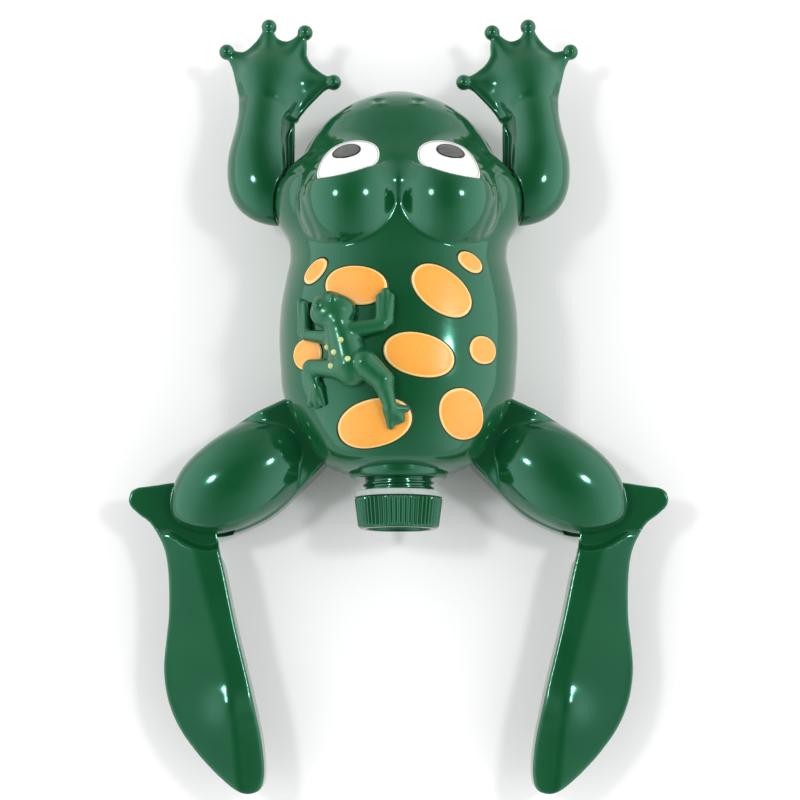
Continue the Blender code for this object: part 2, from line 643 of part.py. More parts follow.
# ================================================================ battery compartment
def thread(name, inner, outer, start, turns, foot, crest, spans=12):
    """A ridge of trapezoid section wound as a right-hand thread about the battery axis."""
    rings = []
    for k in range(round(turns * spans) + 1):
        angle = math.tau * k / spans
        y = start + THREAD_PITCH * k / spans
        ring = []
        section = ((inner, -foot / 2), (outer, -crest / 2), (outer, crest / 2), (inner, foot / 2))
        for radius, offset in section:
            ring.append((radius * math.sin(angle), y + offset, AXIS_Z + radius * math.cos(angle)))
        rings.append(ring)
    return loft(name, rings)


def add_battery_tube(materials):
    profile = [(NECK_END, NECK_RADIUS), (COLLAR_BACK, NECK_RADIUS), (COLLAR_BACK, COLLAR_RADIUS - 1.8)]
    profile += [(COLLAR_BACK + 1.8, COLLAR_RADIUS), (COLLAR_FRONT, COLLAR_RADIUS)]
    profile += [(COLLAR_FRONT, TUBE_RADIUS), (TUBE_FRONT, TUBE_RADIUS)]
    tube = turned("battery_tube", profile, materials["green_plastic"])
    cut(tube, turned("tube_bore", [(NECK_END - 3, BORE_RADIUS), (TUBE_FRONT - 2, BORE_RADIUS)], count=20))
    join(tube, thread("neck_thread", NECK_RADIUS - 0.5, THREAD_RADIUS, NECK_END + 1.8, 3.6, 1.5, 0.8))
    holes = [lead_hole("h", side, 1.2, 50.0, 62.0) for side, _ in SIDES]
    cut(tube, group("tube_lead_holes", holes))


def lead_hole(name, side, radius, back, front):
    """A hole along Y for a motor lead."""
    return loft(name, [[(6.0 * side + a, y, 30.0 + b) for a, b in circle(radius, 8)] for y in (back, front)])


def add_cells(materials):
    back = NECK_END + 8.0
    for word in ("rear", "front"):
        nub = back + CELL_LENGTH
        profile = [(back, 11.5), (back + 0.7, CELL_RADIUS), (nub - 0.7, CELL_RADIUS), (nub, 11.5)]
        profile += [(nub, 3.2), (nub + NUB_LENGTH, 3.0)]
        turned(f"battery_cell_{word}", profile, materials["cell_jacket"], count=16)
        back = nub + NUB_LENGTH + GAP
    profile = [(back, 3.0), (back + 0.3, 3.2), (back + 0.3, 9.0), (back + 0.8, 9.0)]
    turned("contact_plate_front", profile, materials["steel"], count=16)
    radius = (BORE_RADIUS + CELL_RADIUS) / 2
    low, high = AXIS_Z - radius - 0.12, AXIS_Z - radius + 0.12
    box("contact_strip", (-1.5, NECK_END + 1, low), (1.5, TUBE_FRONT - 2.4, high), materials["steel"])


def add_cap(materials):
    """The ribbed screw cap, with its own plate and spring, and the ring that seals it."""
    corners = ((0.0, 0.0), (0.35, 0.0), (0.65, RIB_HEIGHT))
    shape = []  # angle and height of the ribs' corners
    for k in range(CAP_RIBS):
        shape += [(math.tau * (k + share) / CAP_RIBS, lift) for share, lift in corners]
    outside = (
        (CAP_END, CAP_END_RADIUS - 1.6, 0.0),
        (CAP_END + 1.6, CAP_END_RADIUS - RIB_HEIGHT, 1.0),
        (CAP_FRONT, CAP_FRONT_RADIUS - RIB_HEIGHT, 1.0),
    )
    rings = []
    for y, radius, height in outside:
        ring = []
        for angle, lift in shape:
            r = radius + lift * height
            ring.append((r * math.cos(angle), y, AXIS_Z + r * math.sin(angle)))
        rings.append(ring)
    cap = loft("cap", rings, materials["green_plastic"], sharp=25)
    cut(cap, turned("cap_bore", [(CAP_END + 3.0, CAP_BORE), (CAP_FRONT + 3, CAP_BORE)]))
    cut(cap, turned("cap_dish", [(CAP_END - 3, 16.0), (CAP_END + 1.0, 15.2)]))
    start = NECK_END + 1.8 - THREAD_PITCH / 2
    join(cap, thread("cap_thread", CAP_BORE + 0.8, THREAD_RADIUS - 0.55, start, 1.6, 1.3, 0.6))
    ring = turned(
        "cap_gasket",
        [(CAP_FRONT + GAP, 21.2), (GASKET_FRONT - 0.5, 21.2), (GASKET_FRONT, 20.6)],
        materials["gasket_rubber"],
    )
    cut(ring, turned("gasket_bore", [(CAP_FRONT - 4, 17.6), (GASKET_FRONT + 4, 17.6)]))
    plate = CAP_END + 3.3
    turned("cap_contact_plate", [(plate, 12.5), (plate + 0.4, 12.5)], materials["steel"], count=16)
    path = []
    count = round(SPRING_TURNS * 10) + 1
    for k in range(count):
        share, angle = k / (count - 1), math.tau * k / 10
        radius = 9.0 - 4.5 * share
        y = plate + 1.3 + SPRING_LENGTH * share
        path.append((radius * math.sin(angle), y, AXIS_Z + radius * math.cos(angle)))
    swept("cap_spring", path, [SPRING_WIRE] * count, materials["steel"], count=5)


# ================================================================ drive
def gear_outline(teeth, module, phase, centre, backlash=0.16):
    """A spur gear with straight-sided teeth. The middle of one tooth lies at the phase angle, in degrees."""
    pitch = module * teeth / 2
    outer, root = pitch + 0.85 * module, pitch - 1.15 * module
    half = math.pi * module / 4 - backlash
    at_root = (half + 1.15 * module * FLANK) / root
    at_tip = max(half - 0.85 * module * FLANK, 0.12) / outer
    points = []
    for k in range(teeth):
        middle = math.radians(phase) + math.tau * k / teeth
        for angle, radius in ((-at_root, root), (-at_tip, outer), (at_tip, outer), (at_root, root)):
            turn = middle + angle
            points.append((centre[0] + radius * math.cos(turn), centre[1] + radius * math.sin(turn)))
    return points


def add_gear(name, y, layers, bore, material):
    """A gear, or two made as one, on an upright axis at x = 0. Each layer is (teeth, phase, low, high)."""
    made = None
    for teeth, phase, low, high in layers:
        outline = gear_outline(teeth, GEAR_MODULE, phase, (0.0, y))
        if made is None:
            made = prism(name, outline, low, high, material, sharp=20)
        else:
            join(made, prism(f"{name}_small", outline, low - 0.4, high, sharp=20))
    return cut(made, post(f"{name}_bore", bore, 0.0, 60.0, (0.0, y), count=8))


def add_gearbox(materials):
    white, steel = materials["white_plastic"], materials["steel"]
    gap_at = 180.0 / BIG_TEETH  # turns a big gear so that a gap, not a tooth, lies at an angle
    add_gear("motor_pinion", MOTOR_Y, [(SMALL_TEETH, 270.0, 32.9, 35.4)], 1.25, materials["brass"])
    layers = [(BIG_TEETH, 90.0 + gap_at, 33.0, 35.2), (SMALL_TEETH, 270.0, 35.2, 38.2)]
    add_gear("first_gear", CRANK_Y, layers, 1.3, white)
    layers = [(BIG_TEETH, 90.0 + gap_at, 35.8, 38.0), (SMALL_TEETH, 90.0, 38.0, 41.0)]
    add_gear("second_gear", IDLER_Y, layers, 1.3, white)
    add_gear("crank_gear", CRANK_Y, [(BIG_TEETH, 270.0 + gap_at, 38.8, 41.0)], 1.3, white)
    motor = post("motor", 8.6, 8.8, 32.0, (0.0, MOTOR_Y), materials["motor_can"], count=20)
    cut(motor, post("motor_bore", 1.4, 25.0, 40.0, (0.0, MOTOR_Y), count=8))
    post("motor_shaft", 1.0, 25.5, 36.0, (0.0, MOTOR_Y), steel, count=8)
    for name, y, shoulder, top in (("idler_axle", IDLER_Y, 35.4, 41.2), ("crank_shaft", CRANK_Y, 32.7, 47.6)):
        profile = [(8.8, 1.0), (13.0, 1.0), (13.0, 1.9), (shoulder, 1.9), (shoulder, 1.0), (top, 1.0)]
        spindle(name, profile, (0.0, y), steel, count=8)
    seal = post("shaft_seal", 3.5, 44.1, 45.6, (0.0, CRANK_Y), materials["gasket_rubber"])
    cut(seal, post("seal_bore", 1.3, 40.0, 50.0, (0.0, CRANK_Y), count=8))
    angle = math.asin(YOKE_REST / CRANK_RADIUS)
    pin = (CRANK_RADIUS * math.cos(angle), CRANK_Y + YOKE_REST)
    disc = post("crank_disc", 5.8, 46.0, 48.0, (0.0, CRANK_Y), white, count=16)
    cut(disc, post("crank_disc_bore", 1.3, 40.0, 50.0, (0.0, CRANK_Y), count=8))
    join(disc, post("crank_pin", 1.4, 47.5, YOKE_LOW - GAP, pin, count=8))


def add_gear_housing(materials):
    white = materials["white_plastic"]
    half, floor = BOX_HALF, BOX_LOW + 2.0
    base = box("gearbox_base", (-half, BOX_BACK, BOX_LOW), (half, BOX_FRONT, BOX_HIGH), white)
    cut(base, box("gearbox_inside", (2 - half, BOX_BACK + 2, floor), (half - 2, BOX_FRONT - 2, BOX_HIGH + 5)))
    places = [(0.0, CRANK_Y), (0.0, IDLER_Y)]
    join(base, group("axle_sockets", [post("s", 3.0, floor - 1, floor + 4.0, place) for place in places]))
    holes = [post("h", 1.3, floor, floor + 9.0, place, count=8) for place in places]
    holes += [lead_hole("h", side, 1.4, 50.0, 64.0) for side, _ in SIDES]
    cut(base, group("gearbox_holes", holes))
    lid = box("gearbox_lid", (-half, BOX_BACK, BOX_HIGH + GAP), (half, BOX_FRONT, BOX_HIGH + 2.3), white)
    cut(lid, post("lid_bore", 1.35, 30.0, 50.0, (0.0, CRANK_Y), count=8))


def add_leads(materials):
    """The two wires from the battery tube's front wall to the motor's foot."""
    route = [(6.0, 56.0, 30.0), (6.0, 60.5, 30.0), (6.6, 66.0, 28.6), (8.0, 74.0, 23.0)]
    route += [(8.8, 82.0, 17.0), (8.4, 87.6, 14.4), (6.05, 93.4, 13.6)]
    for side, word, colour in ((-1, "positive", "wire_red"), (1, "negative", "wire_black")):
        path = [(x * side, y, z) for x, y, z in route]
        swept(f"motor_lead_{word}", path, [0.7] * len(path), materials[colour], count=6)


def rack_outline(side):
    """A rod along Y whose outer edge carries rack teeth beside the hip."""
    pitch = math.pi * RACK_MODULE
    half = pitch / 4 - 0.16
    root, tip, inner = RACK_X - 1.15 * RACK_MODULE, RACK_X + 0.85 * RACK_MODULE, RACK_X - 4.0
    at_root, at_tip = half + 1.15 * RACK_MODULE * FLANK, half - 0.85 * RACK_MODULE * FLANK
    back, front = HIP[1] - 12.5, CRANK_Y + YOKE_REST - 4.0
    edge = [(inner, back), (root, back)]
    for k in range(-3, 3):
        middle = HIP[1] + (k + 0.5) * pitch
        edge += [(root, middle - at_root), (tip, middle - at_tip)]
        edge += [(tip, middle + at_tip), (root, middle + at_root)]
    edge += [(root, front), (inner, front)]
    return on_side(edge, side)


def add_yoke(materials):
    """The sliding yoke: a slotted crosshead over the crank, and a toothed rod each side of the tube."""
    y, half = CRANK_Y + YOKE_REST, RACK_X - 1.0
    low, high = (-half, y - 6.5, YOKE_LOW), (half, y + 6.5, YOKE_HIGH)
    yoke = box("drive_yoke", low, high, materials["white_plastic"])
    for side, word in SIDES:
        join(yoke, prism(f"rack_{word}", rack_outline(side), YOKE_LOW, YOKE_HIGH, sharp=20))
    cut(yoke, box("yoke_slot", (-5.2, y - 1.8, 45.0), (5.2, y + 1.8, 60.0)))


def add_bulkhead(materials):
    """The plate that carries the middle of the battery tube and guides the yoke's rods."""
    plate = box("centre_bulkhead", (-25.0, 36.0, 3.8), (25.0, 40.0, 57.5), materials["white_plastic"])
    cut(plate, turned("bulkhead_bore", [(30, TUBE_RADIUS + 0.4), (46, TUBE_RADIUS + 0.4)], count=20))
    windows = []
    for side, _ in SIDES:
        near, far = (RACK_X - 4.4) * side, (RACK_X - 1.0) * side
        windows.append(box("w", (near, 30, YOKE_LOW - 0.4), (far, 46, YOKE_HIGH + 0.4)))
    cut(plate, group("rod_windows", windows))


def add_floats(materials):
    """A foam block each side of the tube, shaped to the hull's inside."""
    for side, word in SIDES:
        low, high = (28.5 * side, 13.0, 3.0), (70.0 * side, 66.0, 33.5)
        block = box(f"float_block_{word}", low, high, materials["float_foam"])
        keep(block, half_hull(f"float_limit_{word}", -1, -WALL - 0.6, -1.0))


def main():
    clear_scene()
    materials = make_materials()
    add_hull(materials)
    add_hull_screws(materials)
    add_eyes(materials)
    add_arms(materials)
    add_baby_frog(materials)
    for side, word in SIDES:
        add_thigh(side, word, materials)
        add_paddle(side, word, materials)
        add_hip(side, word, materials)
    add_battery_tube(materials)
    add_cells(materials)
    add_cap(materials)
    add_gearbox(materials)
    add_gear_housing(materials)
    add_leads(materials)
    add_yoke(materials)
    add_bulkhead(materials)
    add_floats(materials)


main()
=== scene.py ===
"""The finished look of a battery-driven swimming frog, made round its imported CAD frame.

Every outer skin is a distance field in millimetres, negative inside, which skin() turns into a mesh.
Turned pieces come from lathe(), and the painted spots and the eyes are plates laid on the head's and the
back's skin by patch(). The mechanism inside keeps its CAD meshes and gets its materials here.
+Y is towards the snout, +X is the frog's right and +Z is up.
"""

import json
import math
from itertools import product

import bmesh
import bpy
import numpy as np
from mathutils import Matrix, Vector


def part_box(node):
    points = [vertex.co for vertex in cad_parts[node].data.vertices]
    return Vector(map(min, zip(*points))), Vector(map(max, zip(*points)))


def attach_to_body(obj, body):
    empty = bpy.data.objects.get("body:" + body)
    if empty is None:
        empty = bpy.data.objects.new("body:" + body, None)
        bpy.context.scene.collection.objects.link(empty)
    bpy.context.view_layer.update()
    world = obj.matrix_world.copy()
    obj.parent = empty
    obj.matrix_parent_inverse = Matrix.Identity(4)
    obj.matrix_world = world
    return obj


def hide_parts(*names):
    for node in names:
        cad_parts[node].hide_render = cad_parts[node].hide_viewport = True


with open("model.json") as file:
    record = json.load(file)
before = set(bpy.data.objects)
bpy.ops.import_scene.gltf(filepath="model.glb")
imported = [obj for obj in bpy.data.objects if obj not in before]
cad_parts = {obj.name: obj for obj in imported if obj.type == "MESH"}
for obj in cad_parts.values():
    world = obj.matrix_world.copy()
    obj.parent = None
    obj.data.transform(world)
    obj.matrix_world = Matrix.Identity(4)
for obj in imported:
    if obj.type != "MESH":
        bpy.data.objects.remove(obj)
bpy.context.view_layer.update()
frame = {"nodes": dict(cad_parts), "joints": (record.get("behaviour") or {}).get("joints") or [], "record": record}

MM = 0.001
SIDES = ((-1, "left"), (1, "right"))
JOINTS = {joint["name"]: joint for joint in frame["joints"]}


def node_box(name):
    """A CAD node's lowest and highest corner, in millimetres."""
    low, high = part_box(name)
    return np.array(low) / MM, np.array(high) / MM


def pivot(joint):
    """A hinge's place, in millimetres."""
    return np.array(JOINTS[joint]["pos_m"]) / MM


# ---- places taken from the frame
UPPER_LOW, UPPER_HIGH = node_box("upper_shell")
SEAM_LOW, SEAM_HIGH = node_box("lower_shell")[1][2], UPPER_LOW[2]
PARTING = (SEAM_LOW + SEAM_HIGH) / 2
RUMP, SNOUT = UPPER_LOW[1], UPPER_HIGH[1]
HIP, KNEE = pivot("hip_right"), pivot("knee_right")
CAP_LOW, CAP_HIGH = node_box("cap")
GASKET_LOW, GASKET_HIGH = node_box("cap_gasket")
TUBE_LOW, TUBE_HIGH = node_box("battery_tube")
THIGH_LOW, THIGH_TOP = node_box("thigh_lower_right")[0][2], PARTING - 0.6
SPLIT_LOW, SPLIT_HIGH = node_box("thigh_lower_right")[1][2], node_box("thigh_upper_right")[0][2]
PADDLE_LOW, PADDLE_TOP = node_box("paddle_right")[0][2], node_box("paddle_right")[1][2]
SCREWS = [name for name in frame["nodes"] if name.startswith("hull_screw")]

# ---- hull
WALL = 2.2
CELL, BABY_CELL = 0.9, 0.55  # the grids' steps on the outer skins and on the small frog
PROBE = 0.05  # how far apart a field is read to find its slope
POST_RADIUS, SCREW_HOLE_RADIUS = 4.3, 3.2
LEG_SLOT_INNER, LEG_SLOT_OUTER = (27.8, -50.0), (75.0, 11.7)  # the opening in the belly, in plan
BACK_POWER, BELLY_POWER = 2.2, 2.6
# y, half width, height above and depth below the parting plane
STATIONS = np.array((
    (-44.0, 27.5, 19.0, 19.0),
    (-36.0, 33.6, 25.5, 25.5),
    (-32.0, 36.7, 28.8, 28.5),
    (-24.0, 42.2, 34.0, 33.0),
    (-13.5, 48.5, 38.0, 35.5),
    (0.0, 55.0, 41.0, 36.0),
    (16.0, 57.0, 42.0, 36.0),
    (32.0, 57.7, 42.0, 36.0),
    (46.0, 56.8, 41.8, 36.0),
    (59.0, 54.5, 40.5, 36.0),
    (68.5, 52.8, 39.0, 36.0),
    (78.0, 54.0, 38.0, 36.0),
    (87.0, 59.0, 37.5, 36.0),
    (95.5, 61.2, 37.0, 35.8),
    (103.0, 60.6, 36.5, 35.0),
    (112.0, 55.0, 35.0, 33.5),
    (119.5, 47.5, 33.0, 31.0),
    (129.0, 41.8, 29.5, 27.0),
    (139.0, 33.5, 24.5, 20.5),
    (146.5, 22.0, 17.5, 13.0),
    (150.5, 12.5, 11.0, 7.5),
))
RUMP_ROUND = 10.0  # blend width round the flat rump
LIP_REACH, LIP_Y, LIP_HALF = 1.3, 130.0, 17.0  # how far the lower jaw stands out, and where

# ---- face
MOUND_CENTRE, MOUND_RADII = np.array((22.5, 92.0, 58.0)), np.array((24.5, 26.0, 24.0))
EYE_CENTRE = np.array((22.8, 107.0, 74.0))  # the middle of the white, a little under its surface
EYE_UP = np.array((0.0, 0.783, -0.622))  # the eye faces up and forward, square to this
EYE_OUTLINE = (  # of the right white, across and up in the eye's plane, from its inner corner
    (-13.7, 3.2), (-12.6, 7.8), (-9.0, 10.7), (-3.1, 11.8), (3.0, 10.9), (8.2, 8.2), (12.0, 3.2),
    (14.2, -2.4), (15.0, -7.4), (13.2, -10.8), (8.4, -12.6), (2.3, -12.6), (-4.2, -10.6), (-9.4, -6.2),
    (-12.5, -1.7),
)
PUPIL_MIDDLE, PUPIL_HALF, PUPIL_TILT = (1.5, 2.9), (6.9, 5.2), -25.0
LID_LIFT = 1.25  # how far the lid stands over the white
LID_LOW, LID_MIDDLE, LID_BEND = -12.2, 5.2, 0.026  # the lid's edge is a parabola in the eye's plane
NOSTRIL, NOSTRIL_HALF = (9.6, 142.6), (2.6, 1.3)
FACE_CREASES = (  # on the right: under the dome's edge to the cheek, and down the outside of the mound
    ((37.0, 103.5), (46.0, 106.0), (57.0, 108.5)),
    ((40.5, 101.0), (43.4, 97.0), (45.2, 91.0), (42.7, 82.2), (38.4, 72.7)),
)

# ---- spots: middle, half size, tilt in degrees
SPOTS = (
    ((-38.8, 55.9), (3.9, 6.9), -40.0),
    ((-19.6, 47.2), (14.4, 9.3), -8.0),
    ((20.0, 44.8), (15.6, 9.8), -38.0),
    ((33.4, 59.6), (6.3, 4.2), -36.0),
    ((-42.2, 16.5), (6.8, 7.4), 10.0),
    ((9.4, 14.3), (16.4, 10.0), -12.0),
    ((39.1, 18.0), (6.2, 6.5), 0.0),
    ((-10.9, -16.5), (17.2, 10.6), 12.0),
    ((29.0, -11.8), (10.2, 11.3), 15.0),
)
SPOT_LIFT = 0.9

# ---- arms
ARM_BLOBS = (  # centre and radii of the right arm's swellings, shoulder to wrist
    ((58.0, 103.0, 31.0), (21.5, 16.5, 13.0)),
    ((68.4, 114.0, 31.0), (16.2, 19.5, 14.0)),
    ((68.2, 130.0, 31.0), (12.8, 18.5, 12.6)),
    ((66.0, 146.0, 30.5), (11.2, 15.0, 10.0)),
)
PALM, PALM_RADII = (64.5, 160.5, 30.0), (15.0, 15.0, 9.6)
FINGER_TIPS = ((86.0, 176.2), (65.0, 189.3), (46.9, 186.3), (32.5, 160.4))
FINGER_ROOT = (64.5, 160.0)
FINGER_BALL, FINGER_THICK, FINGER_NECK, HAND_MIDDLE = 3.9, 5.0, 1.2, 29.75
ARM_GAP = 0.35  # between the arm and the hull
HAND_OUTLINE = (  # the web, anticlockwise from the wrist's outer side
    (75.6, 147.0), (79.2, 157.6), (84.2, 170.2), (86.0, 176.2), (79.3, 176.0), (76.0, 177.1), (71.2, 182.0),
    (67.0, 188.5), (65.0, 189.3), (61.5, 184.0), (56.8, 181.7), (52.0, 183.0), (48.0, 186.0), (46.0, 180.0),
    (45.8, 174.1), (43.0, 169.0), (38.0, 164.8), (32.5, 160.4), (38.0, 155.0), (44.6, 148.0), (51.0, 140.5),
    (58.0, 136.0), (70.0, 137.0),
)
INNER_WALL, WALL_BACK, WALL_FRONT = 51.6, 110.0, 139.5  # the flat wall on the forearm's inner side
SLEEVE_WALL = 54.9  # the sleeve's own side, which leaves a narrow flange along the wall
FLANGE_LOW, FLANGE_HIGH = (45.0, 106.0, 27.2), (66.0, 141.0, 31.6)
WRIST_FOLD = ((78.0, 152.0), (68.0, 150.5), (58.0, 147.0))

# ---- the small frog on the back
BABY_LIMBS = (  # two ends as x, y and height over the back, then the radius at each end
    ((-25.4, 22.0, 1.6), (-22.4, 9.5, 1.0), 8.4, 9.0),
    ((-27.8, 29.0, 4.4), (-25.8, 22.0, 1.8), 6.6, 8.0),
    ((-22.4, 9.0, 1.0), (-21.6, 7.2, 1.0), 8.8, 8.0),
    ((-20.5, 25.4, 3.6), (-7.6, 27.6, 3.2), 4.2, 2.9),
    ((-8.6, 28.4, 3.0), (-8.5, 40.6, 2.4), 2.3, 1.9),
    ((-6.4, 28.6, 3.2), (-6.0, 43.0, 2.6), 2.4, 2.0),
    ((-4.6, 29.4, 2.8), (-3.6, 41.0, 2.2), 2.2, 1.9),
    ((-32.0, 22.6, 3.4), (-42.6, 24.8, 2.8), 3.6, 2.6),
    ((-42.8, 25.6, 2.6), (-43.4, 40.0, 2.2), 2.3, 1.7),
    ((-44.8, 26.2, 2.4), (-45.8, 41.4, 2.0), 2.2, 1.8),
    ((-15.6, 9.8, 3.8), (-7.4, 2.0, 3.4), 6.6, 5.4),
    ((-7.2, 1.6, 3.4), (-4.0, -9.4, 2.8), 5.0, 3.0),
    ((-4.0, -10.6, 2.6), (3.6, -10.8, 2.0), 2.8, 1.6),
    ((-3.8, -11.0, 2.6), (1.4, -15.4, 2.0), 2.6, 1.6),
    ((-4.4, -11.0, 2.6), (-3.6, -18.4, 2.0), 2.8, 1.7),
    ((-3.0, -12.0, 0.6), (-1.0, -13.8, 0.0), 3.8, 4.0),
    ((-28.0, 7.8, 3.2), (-40.6, 9.8, 2.8), 5.2, 3.6),
    ((-41.0, 9.2, 2.8), (-38.2, 1.4, 2.2), 3.4, 2.6),
    ((-38.2, -0.6, 2.0), (-40.9, -6.8, 1.6), 2.5, 1.7),
    ((-37.8, -0.6, 2.0), (-37.7, -7.8, 1.6), 2.5, 1.7),
    ((-37.2, -0.6, 2.0), (-35.0, -7.0, 1.6), 2.5, 1.5),
    ((-38.0, -1.6, 0.6), (-37.8, -4.6, 0.2), 3.4, 3.4),
)
BABY_HEAD, BABY_HEAD_RADII, BABY_HEAD_TURN, BABY_HEAD_LIFT = (-30.1, 34.2), (10.6, 8.2, 6.2), 9.0, 5.2
BABY_SNOUT, BABY_SNOUT_RADII = (-32.4, 37.8), (7.2, 6.2, 4.6)
BABY_EYES = ((-36.9, 36.2), (-30.2, 39.4))
BEADS = ((-26.3, 19.8), (-32.6, 17.4), (-29.4, 14.4), (-23.1, 11.0), (-30.8, 8.5))
BEAD_RADIUS, BEAD_SUNK = 1.4, 0.1
BABY_EYE_RADIUS, BABY_EYE_LIFT = 2.7, 3.4

# ---- legs, all written for the right side
THIGH_OUTLINE = (  # anticlockwise from the hip's inner side
    (25.5, -8.0), (29.8, -22.0), (36.0, -31.7), (48.0, -43.8), (63.0, -57.0), (83.8, -65.4), (99.0, -63.5),
    (109.0, -57.5), (110.0, -46.0), (103.0, -30.5), (83.0, -13.7), (56.0, 0.0), (44.0, 5.0), (34.0, 6.0),
)
POD_CENTRE, POD_RADII, POD_DEPTH, POD_TURN = (78.5, -37.6, 24.0), (38.5, 24.4, 21.0), 13.5, -32.5
PLATE_END, PLATE_FADE, PLATE_REST = 26.0, 42.0, 26.0  # along the thigh the flat arm sinks into the pod
POD_RINGS = ((6.5, 12.5), (3.6, 16.5))  # steps at the pod's inner end: shift towards the hip, height
SLOT_LOW, SLOT_HIGH, SLOT_RADIUS = 19.3, 27.7, 21.0
THIGH_SCREW = (58.0, -26.0)
PIN_BORE = 2.35
# holes in the thigh's two halves: at which place, radius, lowest and highest point
UPPER_HOLES = (("hip", 4.7, 29.0, 50.0), ("hip", PIN_BORE, 10.0, 30.0), ("knee", PIN_BORE, 26.0, 34.0),
               ("screw", 1.6, 10.0, 31.6))
LOWER_HOLES = (("hip", PIN_BORE, 5.0, 30.0), ("knee", 4.6, 0.0, 12.2), ("knee", PIN_BORE, 5.0, 25.0),
               ("screw", 3.2, 0.0, 18.0), ("screw", 1.6, 10.0, 30.0))
HUB_RADIUS = 8.0
PADDLE_CORNERS = (  # anticlockwise from the hidden heel
    (88.0, -44.0), (85.5, -54.0), (87.3, -64.7), (82.6, -85.7), (77.2, -110.0), (69.2, -141.5),
    (64.2, -165.0), (63.4, -180.5), (67.5, -186.2), (77.0, -184.5), (94.0, -169.0), (106.5, -151.0),
    (111.6, -130.0), (109.6, -101.0), (111.4, -75.5), (118.4, -61.0), (125.2, -55.2), (129.6, -50.8),
    (130.0, -46.2), (127.2, -42.8), (119.0, -41.4), (98.0, -39.0),
)
PADDLE_PLATE, PADDLE_WALL, RIM_FRONT = 2.8, 2.0, -77.0
RIDGE = (
    (-60.0, 100.0), (-72.0, 97.2), (-85.0, 94.4), (-106.0, 88.4), (-118.0, 84.8), (-133.0, 81.0),
    (-146.0, 78.4), (-190.0, 74.0),
)
CROWN, OUTER_SLOPE, INNER_SLOPE, TOE_SLOPE = 4.2, 0.17, 0.03, 0.16
BULGE, BULGE_LIFT, BULGE_SIZE = (80.4, -146.5), 2.0, 8.0
TOE_LINE = -154.0  # behind this line the inner facet leans too
STEP_OUTER, STEP_INNER = 14.7, 19.2  # distance from the knee at which the blade rises

# ---- battery neck and cap, turned about Y
COLLAR_RADIUS, COLLAR_BACK, COLLAR_FRONT = 23.5, -39.3, -31.3
COLLAR_GAP, HOLE_BACK, HOLE_FRONT = 0.35, -60.0, -26.0  # of the hull's hole round the collar
TUBE_RADIUS, BORE_RADIUS = 16.2, 14.0
NECK_RADIUS, THREAD_RADIUS, THREAD_PITCH = 15.8, 17.0, 2.5
CAP_BORE, CAP_FLOOR = 17.85, 3.0
CAP_RIBS, RIB_HEIGHT = 54, 0.8
DISH_RADIUS, DISH_DEPTH = 15.6, 1.9


# ======== fields
def smooth_min(a, b, width):
    """The union of two fields, with a blend of that width in millimetres."""
    near = np.clip(width - np.abs(a - b), 0.0, None) / width
    return np.minimum(a, b) - near**2 * width / 4


def smooth_max(a, b, width):
    """What two fields share, blended in the same way."""
    return -smooth_min(-a, -b, width)


def ramp(value, low, high):
    """0 at low, 1 at high and smooth between."""
    t = np.clip((value - low) / (high - low), 0.0, 1.0)
    return t * t * (3 - 2 * t)


def ellipsoid(p, centre, radii, turn=0.0):
    q = p - np.asarray(centre)
    c, s = math.cos(math.radians(turn)), math.sin(math.radians(turn))
    q = np.stack((q[:, 0] * c + q[:, 1] * s, q[:, 1] * c - q[:, 0] * s, q[:, 2]), 1)
    radii = np.asarray(radii)
    share = np.sqrt(((q / radii) ** 2).sum(1))
    slope = np.sqrt(((q / radii**2) ** 2).sum(1))
    return share * (share - 1) / np.maximum(slope, 1e-6)


def round_cone(p, start, end, radius_start, radius_end):
    start, end = np.asarray(start, float), np.asarray(end, float)
    along = end - start
    t = np.clip((p - start) @ along / (along @ along), 0.0, 1.0)
    away = np.linalg.norm(p - start - t[:, None] * along, axis=1)
    return away - (radius_start + (radius_end - radius_start) * t)


def smooth_outline(corners, steps):
    """A closed Catmull-Rom curve through the corners, with that many points on each stretch."""
    corners = np.array(corners, float)
    t = np.arange(steps)[:, None] / steps
    found = []
    for i in range(len(corners)):
        a, b, c, d = (corners[(i + k - 1) % len(corners)] for k in range(4))
        cubic = 2 * b + (c - a) * t + (2 * a - 5 * b + 4 * c - d) * t**2 + (3 * b - a - 3 * c + d) * t**3
        found.append(cubic / 2)
    return np.concatenate(found)


def plan(corners, margin=14.0, step=0.4):
    """A function of x and y: the distance to a smooth outline, negative inside, read from a fine grid."""
    outline = smooth_outline(corners, 8)
    low = outline.min(0) - margin
    count = np.ceil((outline.max(0) + margin - low) / step).astype(int) + 1
    x, y = np.meshgrid(*(low[k] + step * np.arange(count[k]) for k in range(2)), indexing="ij")
    nearest = np.full(x.shape, 1e9)
    inside = np.zeros(x.shape, bool)
    for (x0, y0), (x1, y1) in zip(outline, np.roll(outline, -1, 0)):
        ex, ey = x1 - x0, y1 - y0
        t = np.clip(((x - x0) * ex + (y - y0) * ey) / (ex * ex + ey * ey), 0.0, 1.0)
        nearest = np.minimum(nearest, (x - x0 - t * ex) ** 2 + (y - y0 - t * ey) ** 2)
        if ey != 0:
            inside ^= ((y0 <= y) != (y1 <= y)) & (x < x0 + (y - y0) * ex / ey)
    table = np.sqrt(nearest) * np.where(inside, -1.0, 1.0)

    def read(px, py):
        u = np.clip((px - low[0]) / step, 0, count[0] - 1.001)
        v = np.clip((py - low[1]) / step, 0, count[1] - 1.001)
        i, j = u.astype(int), v.astype(int)
        u, v = u - i, v - j
        near = table[i, j] * (1 - v) + table[i, j + 1] * v
        far = table[i + 1, j] * (1 - v) + table[i + 1, j + 1] * v
        return near * (1 - u) + far * u

    return read


